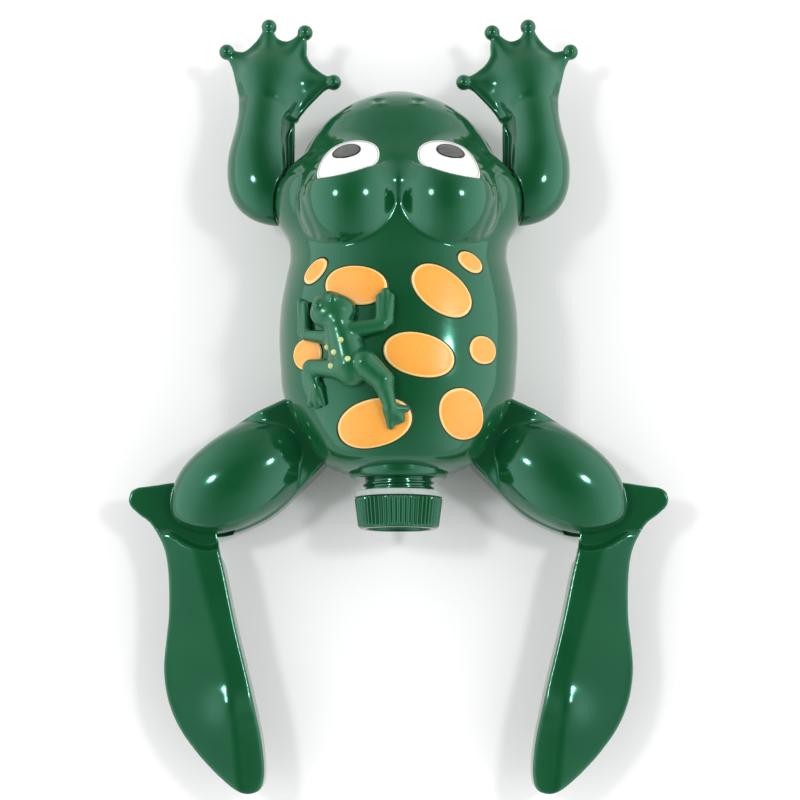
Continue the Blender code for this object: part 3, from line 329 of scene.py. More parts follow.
def stretched_stations():
    """The hull's stations as fine tables, with a round tip at the snout."""
    y = STATIONS[:, 0]
    fine = np.linspace(y[0], y[-1], 1500)
    k = np.clip(np.searchsorted(y, fine) - 1, 0, len(y) - 2)
    span = y[k + 1] - y[k]
    t = (fine - y[k]) / span
    tip = np.linspace(y[-1], SNOUT, 60)[1:]
    tables = []
    for column in STATIONS.T[1:]:
        slope = np.gradient(column, y)
        value = (2 * t**3 - 3 * t**2 + 1) * column[k] + (t**3 - 2 * t**2 + t) * span * slope[k]
        value += (3 * t**2 - 2 * t**3) * column[k + 1] + (t**3 - t**2) * span * slope[k + 1]
        end = column[-1] * np.sqrt((SNOUT - tip) / (SNOUT - y[-1]))
        tables.append(np.concatenate((value, end)))
    return np.concatenate((fine, tip)), tables


HULL_Y, (HULL_WIDTH, HULL_HEIGHT, HULL_DEPTH) = stretched_stations()


def barrel(p):
    """The hull without its face: superellipse sections along Y, a flat rump and a flat belly."""
    x, y, z = p.T
    z = z - PARTING
    upper = z > 0
    width = np.maximum(np.interp(y, HULL_Y, HULL_WIDTH), 1e-3)
    reach = np.where(upper, np.interp(y, HULL_Y, HULL_HEIGHT), np.interp(y, HULL_Y, HULL_DEPTH))
    power = np.where(upper, BACK_POWER, BELLY_POWER)
    share = (np.abs(x / width) ** power + np.abs(z / np.maximum(reach, 1e-3)) ** power) ** (1 / power)
    away = np.hypot(x, z)
    side = np.minimum(width, reach)
    skin_field = np.where(share > 1e-4, away * (1 - 1 / np.maximum(share, 1e-4)), -side)
    skin_field = skin_field + np.clip(y - SNOUT, 0.0, None)
    skin_field = smooth_max(skin_field, RUMP - y, RUMP_ROUND)
    return smooth_max(skin_field, -PARTING - z, 3.0)


def eye_plane(p):
    """Across and up in the right eye's plane, for points of the right side."""
    q = p - EYE_CENTRE
    return q[:, 0], q @ EYE_UP


def line_distance(p, line):
    """Distance in plan from points to a line through the given corners."""
    flat = p * (1, 1, 0)
    return np.min([round_cone(flat, (*a, 0), (*b, 0), 0.0, 0.0) for a, b in zip(line, line[1:])], 0)


def mounds(p):
    """Both eye mounds, parted by a sharp valley behind and joined by a broad saddle in front."""
    right = ellipsoid(p, MOUND_CENTRE, MOUND_RADII)
    left = ellipsoid(p * (-1, 1, 1), MOUND_CENTRE, MOUND_RADII)
    return smooth_min(left, right, 0.8 + 15.0 * ramp(p[:, 1], 82.0, 102.0))


def head(p):
    """The upper skin: the back with both eye mounds, their lids and the nostrils."""
    x, y, z = p.T
    right = np.stack((np.abs(x), y, z), 1)
    body = barrel(p)
    mound = mounds(p)
    width = 2.6 + 9.0 * ramp(y, 98.0, 114.0) * ramp(np.abs(x), 52.0, 38.0)
    body = smooth_min(body, mound, width)
    across, up = eye_plane(right)
    edge = LID_LOW + LID_BEND * (across - LID_MIDDLE) ** 2
    lift = LID_LIFT * (1 - ramp(edge - up, 6.0, 34.0))
    lid = smooth_max(mound - lift, up - edge, 1.0)
    body = smooth_min(body, lid, 1.4)
    for crease in FACE_CREASES:
        body = body + 0.5 * np.exp(-((line_distance(right, crease) / 1.2) ** 2)) * (z > PARTING + 6)
    nose = ((np.abs(x) - NOSTRIL[0]) / NOSTRIL_HALF[0]) ** 2
    dimple = np.exp(-nose - ((y - NOSTRIL[1]) / NOSTRIL_HALF[1]) ** 2)
    swelling = np.exp(-nose - ((y - NOSTRIL[1] + 2.6) / NOSTRIL_HALF[1]) ** 2)
    return body + np.where(z > PARTING, 1.4 * dimple - 0.9 * swelling, 0.0)


def lower_hull(p):
    """The lower skin: the barrel with the jaw's lip standing out under the mouth."""
    x, y, z = p.T
    window = np.exp(-(((y - LIP_Y) / LIP_HALF) ** 4))
    lip = LIP_REACH * window * ramp(z, PARTING - 9.0, PARTING - 1.0)
    return barrel(p) - lip


def whole_hull(p):
    return np.minimum(head(p), lower_hull(p))


HAND_PLAN = plan(HAND_OUTLINE)
THIGH_PLAN = plan(THIGH_OUTLINE)
PADDLE_PLAN = plan(PADDLE_CORNERS)


def arm(p):
    """The right arm: a fat sleeve, a domed hand with webs and ball tips, all cut clear of the hull."""
    x, y, z = p.T
    body = ellipsoid(p, *ARM_BLOBS[0])
    for centre, radii in ARM_BLOBS[1:]:
        body = smooth_min(body, ellipsoid(p, centre, radii), 9.0)
    beyond = 1.5 * np.clip(y - WALL_FRONT, 0, None) + 2 * np.clip(WALL_BACK - y, 0, None)
    body = smooth_max(body, SLEEVE_WALL - x - beyond, 2.4)
    inside = np.clip(-HAND_PLAN(x, y), 0.0, None)
    thick = 1.5 + 2.1 * (1 - np.exp(-inside / 6.0)) - 0.5 * np.exp(-(((inside - 3.2) / 2.2) ** 2))
    web = smooth_max(HAND_PLAN(x, y), np.abs(z - HAND_MIDDLE) - thick, 1.2)
    hand = smooth_min(web, ellipsoid(p, PALM, PALM_RADII), 6.0)
    for tip_x, tip_y in FINGER_TIPS:
        root, tip = (*FINGER_ROOT, HAND_MIDDLE), (tip_x, tip_y, HAND_MIDDLE)
        finger = round_cone(p, root, tip, FINGER_THICK, FINGER_NECK)
        hand = smooth_min(hand, finger, 3.2)
    body = smooth_min(body, hand, 7.0)
    flange = np.max(np.maximum(p - FLANGE_HIGH, FLANGE_LOW - p), 1)
    body = smooth_min(body, flange, 0.8)
    body = smooth_max(body, INNER_WALL - x - beyond, 0.8)
    for tip_x, tip_y in FINGER_TIPS:
        ball = np.linalg.norm(p - np.array((tip_x, tip_y, HAND_MIDDLE)), axis=1) - FINGER_BALL
        body = smooth_min(body, ball, 0.5)
    body = body + 0.5 * np.exp(-((line_distance(p, WRIST_FOLD) / 2.4) ** 2)) * (z > HAND_MIDDLE)
    return smooth_max(body, ARM_GAP - whole_hull(p), 0.8)


def drop(field, x, y, low, high):
    """The height of a skin at a place in plan, between a height inside it and one outside."""
    for _ in range(30):
        middle = (low + high) / 2
        if field(np.array(((x, y, middle),)))[0] < 0:
            low = middle
        else:
            high = middle
    return low


def back_height(x, y):
    return drop(head, x, y, PARTING, 90.0)


BABY_PARTS = []
for first, last, radius_first, radius_last in BABY_LIMBS:
    ends = [(x, y, back_height(x, y) + lift) for x, y, lift in (first, last)]
    BABY_PARTS.append((*ends, radius_first, radius_last))
BABY_HEAD_Z = back_height(*BABY_HEAD) + BABY_HEAD_LIFT
BABY_EYE_PLACES = [(x, y, BABY_HEAD_Z + BABY_EYE_LIFT) for x, y in BABY_EYES]


def baby(p):
    """The small frog that clings to the back."""
    body = round_cone(p, *BABY_PARTS[0])
    for part in BABY_PARTS[1:]:
        body = smooth_min(body, round_cone(p, *part), 1.2)
    face = ellipsoid(p, (*BABY_HEAD, BABY_HEAD_Z), BABY_HEAD_RADII, BABY_HEAD_TURN)
    body = smooth_min(body, face, 1.6)
    snout = ellipsoid(p, (*BABY_SNOUT, BABY_HEAD_Z - 0.4), BABY_SNOUT_RADII, BABY_HEAD_TURN)
    body = smooth_min(body, snout, 1.6)
    for place in BABY_EYE_PLACES:
        eye = np.linalg.norm(p - np.array(place), axis=1) - BABY_EYE_RADIUS
        body = smooth_min(body, eye, 0.9)
    return smooth_max(body, -0.3 - barrel(p), 0.6)


def thigh(p):
    """The right thigh before it is split: a flat arm from the hip and the pod at the knee."""
    x, y, z = p.T
    way = (KNEE - HIP)[:2] / np.hypot(*(KNEE - HIP)[:2])
    along = (p - HIP)[:, :2] @ way
    top = THIGH_TOP - (THIGH_TOP - PLATE_REST) * ramp(along, PLATE_END, PLATE_FADE)
    flat = smooth_max(THIGH_PLAN(x, y), np.maximum(z - top, THIGH_LOW - z), 2.4)
    depth = np.where(z > POD_CENTRE[2], POD_RADII[2], POD_DEPTH)
    stretched = p.copy()
    stretched[:, 2] = POD_CENTRE[2] + (z - POD_CENTRE[2]) * POD_RADII[2] / depth
    pod = ellipsoid(stretched, POD_CENTRE, POD_RADII, POD_TURN)
    body = flat
    for k, (shift, rise) in enumerate(POD_RINGS):
        centre = (POD_CENTRE[0] - 0.85 * shift, POD_CENTRE[1] + 0.53 * shift, POD_CENTRE[2])
        ring = ellipsoid(stretched, centre, (POD_RADII[0], POD_RADII[1], rise), POD_TURN)
        body = smooth_min(body, smooth_max(ring, THIGH_PLAN(x, y), 5.0), 0.8)
    return smooth_min(body, smooth_max(pod, THIGH_PLAN(x, y), 5.0), 0.8)


def blade_top(x, y):
    """Height of the paddle's upper face: flat at the root, then two facets meeting in a lengthwise ridge."""
    ridge_y, ridge_x = np.array(RIDGE[::-1]).T
    aside = x - np.interp(y, ridge_y, ridge_x)
    inner = INNER_SLOPE + (TOE_SLOPE - INNER_SLOPE) * ramp(y, TOE_LINE + 3.0, TOE_LINE - 4.0)
    flat = np.zeros_like(aside)
    facets = CROWN - OUTER_SLOPE * smooth_max(aside, flat, 2.0) - inner * smooth_max(-aside, flat, 2.0)
    reach = np.hypot(x - KNEE[0], y - KNEE[1])
    step = STEP_OUTER + (STEP_INNER - STEP_OUTER) * ramp(x, 106.0, 86.0)
    rise = ramp(reach, step, step + 3.6) * ramp(y, -62.5, -65.5)
    bulge = BULGE_LIFT * np.exp(-(((x - BULGE[0]) ** 2 + (y - BULGE[1]) ** 2) / BULGE_SIZE**2))
    edge = np.clip(-PADDLE_PLAN(x, y), 0, None)
    return PADDLE_TOP + rise * (facets + bulge) * (1 - 0.15 * np.exp(-edge / 2.0))


def paddle(p):
    """The right paddle: a crowned blade with a deep rim, and the tongue and hub inside the knee."""
    x, y, z = p.T
    outline = PADDLE_PLAN(x, y)
    top = blade_top(x, y)
    under = PADDLE_TOP - PADDLE_PLATE
    floor = PADDLE_LOW + (under - PADDLE_LOW) * ramp(y, RIM_FRONT - 2.5, RIM_FRONT + 1.5)
    body = smooth_max(outline, z - top, 0.9)
    body = smooth_max(body, floor - z, 1.0)
    hollow = smooth_max(outline + PADDLE_WALL, z - (top - PADDLE_PLATE), 2.0)
    hollow = np.maximum(hollow, y - RIM_FRONT)
    body = smooth_max(body, -hollow, 1.0)
    away = np.hypot(x - KNEE[0], y - KNEE[1])
    hub_half = np.abs(z - (SLOT_LOW + under) / 2 - 0.75) - (under - SLOT_LOW) / 2 - 0.25
    hub = smooth_max(away - HUB_RADIUS, hub_half, 0.8)
    return smooth_min(body, hub, 0.6)


# ======== meshes
def surface_net(values, low, cell):
    """Points and quads on the zero surface of a grid of values."""
    inside = values < 0
    shape = [n - 1 for n in values.shape]
    corners = sum(
        inside[a : a + shape[0], b : b + shape[1], c : c + shape[2]].astype(np.int8)
        for a, b, c in product((0, 1), repeat=3)
    )
    active = (corners > 0) & (corners < 8)
    cells = np.argwhere(active)
    index = np.full(active.shape, -1, np.int64)
    index[active] = np.arange(len(cells))
    total = np.zeros((len(cells), 3))
    hits = np.zeros(len(cells))
    steps = np.eye(3, dtype=int)
    quads = []
    for k in range(3):
        along, u, v = steps[k], steps[(k + 1) % 3], steps[(k + 2) % 3]
        for a, b in product((0, 1), repeat=2):
            start = a * u + b * v
            near = values[tuple((cells + start).T)]
            far = values[tuple((cells + start + along).T)]
            crossed = (near < 0) != (far < 0)
            share = np.where(crossed, near / np.where(crossed, near - far, 1.0), 0.0)
            total += crossed[:, None] * (start + share[:, None] * along)
            hits += crossed
        lower = np.take(inside, range(shape[k]), k)
        upper = np.take(inside, range(1, shape[k] + 1), k)
        edges = np.argwhere(lower != upper)
        for other in ((k + 1) % 3, (k + 2) % 3):
            edges = edges[(edges[:, other] > 0) & (edges[:, other] < shape[other])]
        ring = [index[tuple((edges - a * u - b * v).T)] for a, b in ((1, 1), (0, 1), (0, 0), (1, 0))]
        ring = np.stack(ring, 1)
        inner = lower[tuple(edges.T)]
        quads.append(np.where(inner[:, None], ring, ring[:, ::-1]))
    points = low + (cells + total / hits[:, None]) * cell
    return points, np.concatenate(quads)


def gradient(field, points):
    steps = np.eye(3) * PROBE
    return np.stack([field(points + e) - field(points - e) for e in steps], 1) / (2 * PROBE)


def settle(points, field, most):
    """Moves points onto the field's zero surface."""
    for _ in range(2):
        slope = gradient(field, points)
        move = (field(points) / np.maximum((slope**2).sum(1), 0.1))[:, None] * slope
        size = np.linalg.norm(move, axis=1, keepdims=True)
        points = points - move * np.minimum(1.0, most / np.maximum(size, 1e-9))
    return points


def even_out(points, quads, share):
    """Moves each point part of the way to the middle of its neighbours."""
    total = np.zeros_like(points)
    count = np.zeros(len(points))
    for k in range(4):
        a, b = quads[:, k], quads[:, (k + 1) % 4]
        for here, there in ((a, b), (b, a)):
            for axis in range(3):
                total[:, axis] += np.bincount(here, points[there, axis], len(points))
            count += np.bincount(here, minlength=len(points))
    return points + share * (total / np.maximum(count, 1)[:, None] - points)


def skin(field, low, high, cell):
    """A field's zero surface inside a box, as points in millimetres and quads."""
    low, high = np.array(low, float), np.array(high, float)
    count = np.ceil((high - low) / cell).astype(int) + 1
    x, y, z = (low[k] + cell * np.arange(count[k]) for k in range(3))
    side = np.stack(np.meshgrid(y, z, indexing="ij"), -1).reshape(-1, 2)
    values = np.empty(count)
    for i, place in enumerate(x):
        points = np.column_stack((np.full(len(side), place), side))
        values[i] = field(points).reshape(count[1], count[2])
    points, quads = surface_net(values, low, cell)
    points = settle(points, field, cell / 2)
    for _ in range(2):
        points = even_out(points, quads, 0.5)
        points = settle(points, field, cell / 2)
    return points, quads


def make(name, points, faces, materials, slots=None):
    """A smooth mesh object from points in millimetres."""
    mesh = bpy.data.meshes.new(name)
    mesh.from_pydata((np.asarray(points) * MM).tolist(), [], [list(map(int, f)) for f in faces])
    for material in materials:
        mesh.materials.append(material)
    if slots is not None:
        mesh.polygons.foreach_set("material_index", slots)
    mesh.shade_smooth()
    made = bpy.data.objects.new(name, mesh)
    bpy.context.scene.collection.objects.link(made)
    return made


def flipped(points, faces, side):
    """The right side's mesh, or its mirror image for the left side."""
    if side > 0:
        return points, faces
    return points * (-1, 1, 1), [face[::-1] for face in faces]


def trim(made, height, keep_above, fill):
    """Cuts a mesh off at a height in millimetres."""
    shape = bmesh.new()
    shape.from_mesh(made.data)
    parts = shape.verts[:] + shape.edges[:] + shape.faces[:]
    way = (0, 0, -1 if keep_above else 1)
    bmesh.ops.bisect_plane(shape, geom=parts, plane_co=(0, 0, height * MM), plane_no=way, clear_outer=True)
    if fill:
        open_edges = [e for e in shape.edges if e.is_boundary]
        bmesh.ops.holes_fill(shape, edges=open_edges, sides=0)
    shape.normal_update()
    shape.to_mesh(made.data)
    shape.free()


def keep_result(made):
    """Replaces an object's mesh with what its modifiers make of it."""
    graph = bpy.context.evaluated_depsgraph_get()
    result = bpy.data.meshes.new_from_object(made.evaluated_get(graph))
    made.modifiers.clear()
    made.data = result


def combine(made, cutters, operation):
    """Cuts solids out of an object, or joins them to it, and removes them."""
    for other in cutters:
        modifier = made.modifiers.new(other.name, "BOOLEAN")
        modifier.operation = operation
        modifier.solver = "MANIFOLD"
        modifier.object = other
    keep_result(made)
    for other in cutters:
        bpy.data.objects.remove(other)


def sharpen(made, degrees):
    made.data.set_sharp_from_angle(angle=math.radians(degrees))


def lathe(profile, count, axis_point, along, lift=None, closed=False):
    """A solid of revolution. The profile holds (distance along the axis, radius) pairs, outside first.

    lift gives extra radius from a profile point's place and radius and an array of angles.
    A radius of 0 makes a pole, and a closed profile makes a ring.
    """
    along = np.array(along, float)
    first = np.array((1.0, 0.0, 0.0))
    second = np.cross(along, first)
    angles = math.tau * np.arange(count) / count
    points, rings = [], []
    for place, radius in profile:
        centre = np.array(axis_point) + along * place
        if radius == 0:
            rings.append([len(points)] * count)
            points.append(centre)
            continue
        reach = radius + (lift(place, radius, angles) if lift else np.zeros(count))
        rings.append(list(range(len(points), len(points) + count)))
        around = np.cos(angles)[:, None] * first + np.sin(angles)[:, None] * second
        points.extend(centre + reach[:, None] * around)
    faces = []
    pairs = list(zip(rings, rings[1:] + rings[:1])) if closed else list(zip(rings, rings[1:]))
    for near, far in pairs:
        for i in range(count):
            j = (i + 1) % count
            corners = dict.fromkeys((near[i], far[i], far[j], near[j]))
            faces.append(tuple(corners))
    return np.array(points), faces


def turned(name, materials, *shape, **more):
    """A piece from lathe()."""
    made = make(name, *lathe(*shape, **more), materials)
    fix_normals(made)
    return made


def cylinder(name, radius, low, high, centre, count=48):
    """An upright cutter."""
    profile = [(low, 0), (low, radius), (high, radius), (high, 0)]
    return turned(name, [], profile, count, (*centre, 0.0), (0, 0, 1))


def block(name, low, high):
    """A box-shaped cutter."""
    points = np.array(list(product(*zip(low, high))))
    faces = [(0, 1, 3, 2), (4, 6, 7, 5), (0, 4, 5, 1), (2, 3, 7, 6), (0, 2, 6, 4), (1, 5, 7, 3)]
    made = make(name, points, faces, [])
    fix_normals(made)
    return made


def fix_normals(made):
    shape = bmesh.new()
    shape.from_mesh(made.data)
    bmesh.ops.recalc_face_normals(shape, faces=shape.faces)
    shape.to_mesh(made.data)
    shape.free()


def oval(half, tilt, count, power=1.0):
    """An ellipse's outline, turned by a tilt in degrees. A power below 1 makes it squarer."""
    angles = math.tau * np.arange(count) / count
    c, s = math.cos(math.radians(tilt)), math.sin(math.radians(tilt))
    corners = np.stack((np.cos(angles), np.sin(angles)), 1)
    corners = np.sign(corners) * np.abs(corners) ** power * half
    return corners @ np.array(((c, s), (-s, c)))


def slide(points, field, way):
    """Moves points along one direction onto a field's zero surface."""
    for _ in range(8):
        slope = (field(points + way * PROBE) - field(points - way * PROBE)) / (2 * PROBE)
        points = points - np.clip(field(points) / np.maximum(slope, 0.25), -4, 4)[:, None] * way
    return points


def patch(field, centre, across, up, outline, rings, foot):
    """A plate on a skin, as points, faces and the ring that each face belongs to.

    rings are (share of the outline, lift over the skin) from the middle out. The plate's underside lies
    foot below the skin.
    """
    outline = np.asarray(outline, float)
    centre, across, up = (np.asarray(v, float) for v in (centre, across, up))
    way = np.cross(across, up)
    count = len(outline)
    levels = []
    for share, lift in rings + [(share, -foot) for share, _ in rings[::-1]]:
        flat = centre + share * (outline[:, :1] * across + outline[:, 1:] * up)
        on_skin = slide(flat, field, way)
        normal = gradient(field, on_skin)
        normal /= np.linalg.norm(normal, axis=1, keepdims=True)
        levels.append(on_skin + lift * normal)
    points = np.concatenate(levels)
    faces, belongs = [], []
    for k in range(len(levels) - 1):
        for i in range(count):
            j = (i + 1) % count
            a, b = k * count, (k + 1) * count
            faces.append((a + i, b + i, b + j, a + j))
            belongs.append(min(k, 2 * len(rings) - 2 - k))
    top, bottom = len(points), len(points) + 1
    points = np.concatenate((points, levels[0].mean(0)[None], levels[-1].mean(0)[None]))
    last = (len(levels) - 1) * count
    for i in range(count):
        j = (i + 1) % count
        faces.append((top, i, j))
        faces.append((bottom, last + j, last + i))
        belongs += [0, 0]
    return points, faces, belongs


# ======== materials
GRAIN_HEIGHT = 0.0002  # in metres, times a material's depth


def noise(nodes, links, scale, detail, stretch):
    """Noise in the object's own space, with scale in features per metre."""
    place = nodes.new("ShaderNodeTexCoord")
    mapping = nodes.new("ShaderNodeMapping")
    mapping.inputs["Scale"].default_value = stretch
    texture = nodes.new("ShaderNodeTexNoise")
    texture.inputs["Scale"].default_value = scale
    texture.inputs["Detail"].default_value = detail
    links.new(place.outputs["Object"], mapping.inputs["Vector"])
    links.new(mapping.outputs["Vector"], texture.inputs["Vector"])
    return texture.outputs["Fac"]


def ramp_node(nodes, links, source, stops, target):
    """A colour ramp from a value to a socket. stops are (position, colour or grey)."""
    node = nodes.new("ShaderNodeValToRGB")
    while len(node.color_ramp.elements) < len(stops):
        node.color_ramp.elements.new(0.5)
    for element, (position, colour) in zip(node.color_ramp.elements, stops):
        element.position = position
        element.color = (*colour, 1) if hasattr(colour, "__len__") else (colour, colour, colour, 1)
    links.new(source, node.inputs["Fac"])
    links.new(node.outputs["Color"], target)


def surface(name, dark, light, rough, metallic=0.0, size=30.0, grain=900.0, depth=0.02, coat=0.0,
            stretch=(1, 1, 1), specular=0.5, tint=(1, 1, 1)):
    """A moulded, painted or turned surface: two shades in soft patches, uneven gloss and a fine grain."""
    material = bpy.data.materials.new(name)
    material.use_nodes = True
    nodes, links = material.node_tree.nodes, material.node_tree.links
    shader = nodes["Principled BSDF"]
    shader.inputs["Metallic"].default_value = metallic
    shader.inputs["Coat Weight"].default_value = coat
    shader.inputs["Coat Roughness"].default_value = 0.04
    shader.inputs["Specular IOR Level"].default_value = specular
    shader.inputs["Specular Tint"].default_value = (*tint, 1.0)
    patches = noise(nodes, links, size, 3.0, stretch)
    ramp_node(nodes, links, patches, [(0.35, dark), (0.65, light)], shader.inputs["Base Color"])
    wear = noise(nodes, links, size * 7, 5.0, stretch)
    ramp_node(nodes, links, wear, [(0.3, rough[0]), (0.7, rough[1])], shader.inputs["Roughness"])
    bump = nodes.new("ShaderNodeBump")
    bump.inputs["Strength"].default_value = depth
    bump.inputs["Distance"].default_value = GRAIN_HEIGHT
    links.new(noise(nodes, links, grain, 2.0, stretch), bump.inputs["Height"])
    links.new(bump.outputs["Normal"], shader.inputs["Normal"])
    return material


GREEN = surface(
    "green_moulding", (0.0038, 0.062, 0.0185), (0.0055, 0.073, 0.0225), (0.11, 0.15), coat=0.30,
    depth=0.010, specular=0.65, tint=(0.30, 1.0, 0.78),
)
SOFT_GREEN = surface(
    "green_soft_moulding", (0.0075, 0.085, 0.030), (0.0095, 0.098, 0.036), (0.20, 0.28), coat=0.25,
    depth=0.03, specular=0.6, tint=(0.40, 1.0, 0.80),
)
SPOT_PAINT = surface(
    "spot_paint", (0.82, 0.345, 0.047), (0.86, 0.38, 0.058), (0.28, 0.36), size=60, depth=0.03
)
# a pale yellow ring on each spot's rounded edge: a painted highlight where the edge catches the lamps
SPOT_EDGE_HIGHLIGHT = surface("spot_edge_painted_highlight", (0.90, 0.58, 0.20), (0.94, 0.64, 0.25), (0.25, 0.34), size=90)
# a very dark green ring in the narrow groove round each spot: painted shade
SPOT_GROOVE_SHADE = surface("spot_groove_painted_shade", (0.006, 0.022, 0.010), (0.010, 0.032, 0.014), (0.35, 0.45), size=90)
EYE_WHITE = surface("eye_white_paint", (0.80,) * 3, (0.86,) * 3, (0.22, 0.30), size=80, coat=0.2)
EYE_LINE = surface("eye_line", (0.42, 0.44, 0.42), (0.52, 0.54, 0.52), (0.30, 0.40), size=80)
# the pupil's middle is grey, not black: a painted sheen on the black paint, which keeps its near-black only on the
# rim
PUPIL_WITH_PAINTED_SHEEN = surface(
    "pupil_paint_with_painted_sheen", (0.060, 0.060, 0.058), (0.110, 0.110, 0.106), (0.30, 0.42), size=240, depth=0.10,
    stretch=(1, 3, 1),
)
PUPIL_RIM = surface("pupil_rim_paint", (0.004,) * 3, (0.008,) * 3, (0.15, 0.22), size=90)
BEAD = surface("bead_paint", (0.42, 0.52, 0.20), (0.62, 0.70, 0.34), (0.20, 0.30), size=500)
RUBBER = surface(
    "gasket_rubber", (0.30, 0.36, 0.34), (0.40, 0.46, 0.43), (0.45, 0.60), size=150, grain=2500, depth=0.15
)

SLOT_MATERIALS = {
    "green_plastic": GREEN,
    "eye_white": EYE_WHITE,
    "pupil_black": PUPIL_WITH_PAINTED_SHEEN,
    "gasket_rubber": RUBBER,
    "steel": surface(
        "turned_steel", (0.48, 0.49, 0.50), (0.60, 0.61, 0.62), (0.22, 0.38), metallic=1.0, size=120,
        grain=3000, depth=0.08, stretch=(1, 1, 6),
    ),
    "brass": surface(
        "brass", (0.62, 0.44, 0.18), (0.76, 0.57, 0.26), (0.20, 0.34), metallic=1.0, size=150, grain=2600
    ),
    "motor_can": surface(
        "motor_can", (0.46, 0.47, 0.49), (0.58, 0.59, 0.61), (0.28, 0.42), metallic=1.0, size=90,
        grain=2200, depth=0.06,
    ),
    "white_plastic": surface(
        "nylon", (0.70, 0.69, 0.64), (0.80, 0.79, 0.75), (0.34, 0.46), size=70, grain=1800, depth=0.05
    ),
    "float_foam": surface(
        "float_foam", (0.78, 0.78, 0.74), (0.90, 0.90, 0.87), (0.85, 0.95), size=400, depth=0.9
    ),
    "cell_jacket": surface(
        "cell_jacket", (0.030, 0.032, 0.036), (0.050, 0.052, 0.058), (0.25, 0.40), metallic=0.4, size=60
    ),
    "wire_red": surface("wire_red", (0.42, 0.02, 0.015), (0.56, 0.04, 0.03), (0.40, 0.52), size=300),
    "wire_black": surface("wire_black", (0.010,) * 3, (0.022,) * 3, (0.40, 0.52), size=300),
}


def finish_cad_nodes():
    """Gives every CAD node the material of its slot."""
    for part in frame["record"]["subparts"]:
        node = frame["nodes"][part["node"]]
        node.data.materials.clear()
        node.data.materials.append(SLOT_MATERIALS[part["material_slot"]])
        node.data.polygons.foreach_set("material_index", [0] * len(node.data.polygons))


def attach(made, body, slot, *nodes):
    """Puts a finished piece on its body, in place of the CAD nodes it stands for."""
    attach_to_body(made, body)
    if nodes:
        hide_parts(*nodes)


# ======== hull
def collar_hole(name):
    """A cutter along Y for the round hole that the neck's collar fills."""
    radius = COLLAR_RADIUS + COLLAR_GAP
    profile = [(HOLE_BACK, 0), (HOLE_BACK, radius), (HOLE_FRONT, radius), (HOLE_FRONT, 0)]
    return turned(name, [], profile, 96, (0, 0, PARTING), (0, 1, 0))


def shell(name, field, low, high, height, keep_above):
    """One half of the hull, WALL thick, cut off at a height."""
    points, faces = skin(field, low, high, CELL)
    made = make(name, points, faces, [GREEN])
    trim(made, height, keep_above, False)
    wall = made.modifiers.new("wall", "SOLIDIFY")
    wall.thickness = WALL * MM
    wall.offset = -1.0
    keep_result(made)
    return made


def add_hull():
    upper = shell("back_shell", head, (-65, -40, PARTING - 3), (65, 156, 86), SEAM_HIGH, True)
    combine(upper, [collar_hole("upper_collar_hole")], "DIFFERENCE")
    sharpen(upper, 50)
    attach(upper, "hull", "green_plastic", "upper_shell")

    lower = shell("belly_shell", lower_hull, (-65, -40, -2.2), (65, 156, PARTING + 2), SEAM_LOW, False)
    posts, holes = [], [collar_hole("lower_collar_hole")]
    for name in SCREWS:
        (x0, y0, z0), (x1, y1, _) = node_box(name)
        x, y = (x0 + x1) / 2, (y0 + y1) / 2
        foot = 0.0
        while barrel(np.array(((x, y, foot),)))[0] > -WALL * 0.7:
            foot += 0.1
        posts.append(cylinder(f"post_{name}", POST_RADIUS, foot, SEAM_LOW - 0.1, (x, y)))
        holes.append(cylinder(f"hole_{name}", SCREW_HOLE_RADIUS, -5.0, z0 + 2.5, (x, y)))
    for side, word in SIDES:
        near, far = sorted((LEG_SLOT_INNER[0] * side, LEG_SLOT_OUTER[0] * side))
        low, high = (near, LEG_SLOT_INNER[1], THIGH_LOW - 0.9), (far, LEG_SLOT_OUTER[1], PARTING + 2.0)
        holes.append(block(f"leg_slot_{word}", low, high))
    combine(lower, posts, "UNION")
    combine(lower, holes, "DIFFERENCE")
    sharpen(lower, 50)
    attach(lower, "hull", "green_plastic", "lower_shell")


def add_spots():
    for number, (middle, half, tilt) in enumerate(SPOTS, 1):
        outline = oval(half, tilt, 72, 0.94)
        centre = (*middle, back_height(*middle))
        small = min(half)
        edge, pale, groove = 1 - 0.8 / small, 1 - 0.45 / small, 1 + 0.55 / small
        rings = [(0.25, SPOT_LIFT), (0.55, SPOT_LIFT), (0.8 * edge, SPOT_LIFT), (edge, SPOT_LIFT)]
        # the rings from edge out to the spot's side take the pale painted highlight
        rings += [(pale, SPOT_LIFT - 0.10), (pale + 0.25 / small, SPOT_LIFT - 0.30), (1.0, SPOT_LIFT - 0.7)]
        # the outermost ring, lying almost on the skin, carries the painted shade of the groove
        rings += [(groove, 0.05)]
        points, faces, ring = patch(head, centre, (1, 0, 0), (0, 1, 0), outline, rings, 0.8)
        slots = [0 if k < 3 else 1 if k < 6 else 2 for k in ring]
        made = make(f"spot_{number}", points, faces, [SPOT_PAINT, SPOT_EDGE_HIGHLIGHT, SPOT_GROOVE_SHADE], slots)
        attach(made, "hull", None)


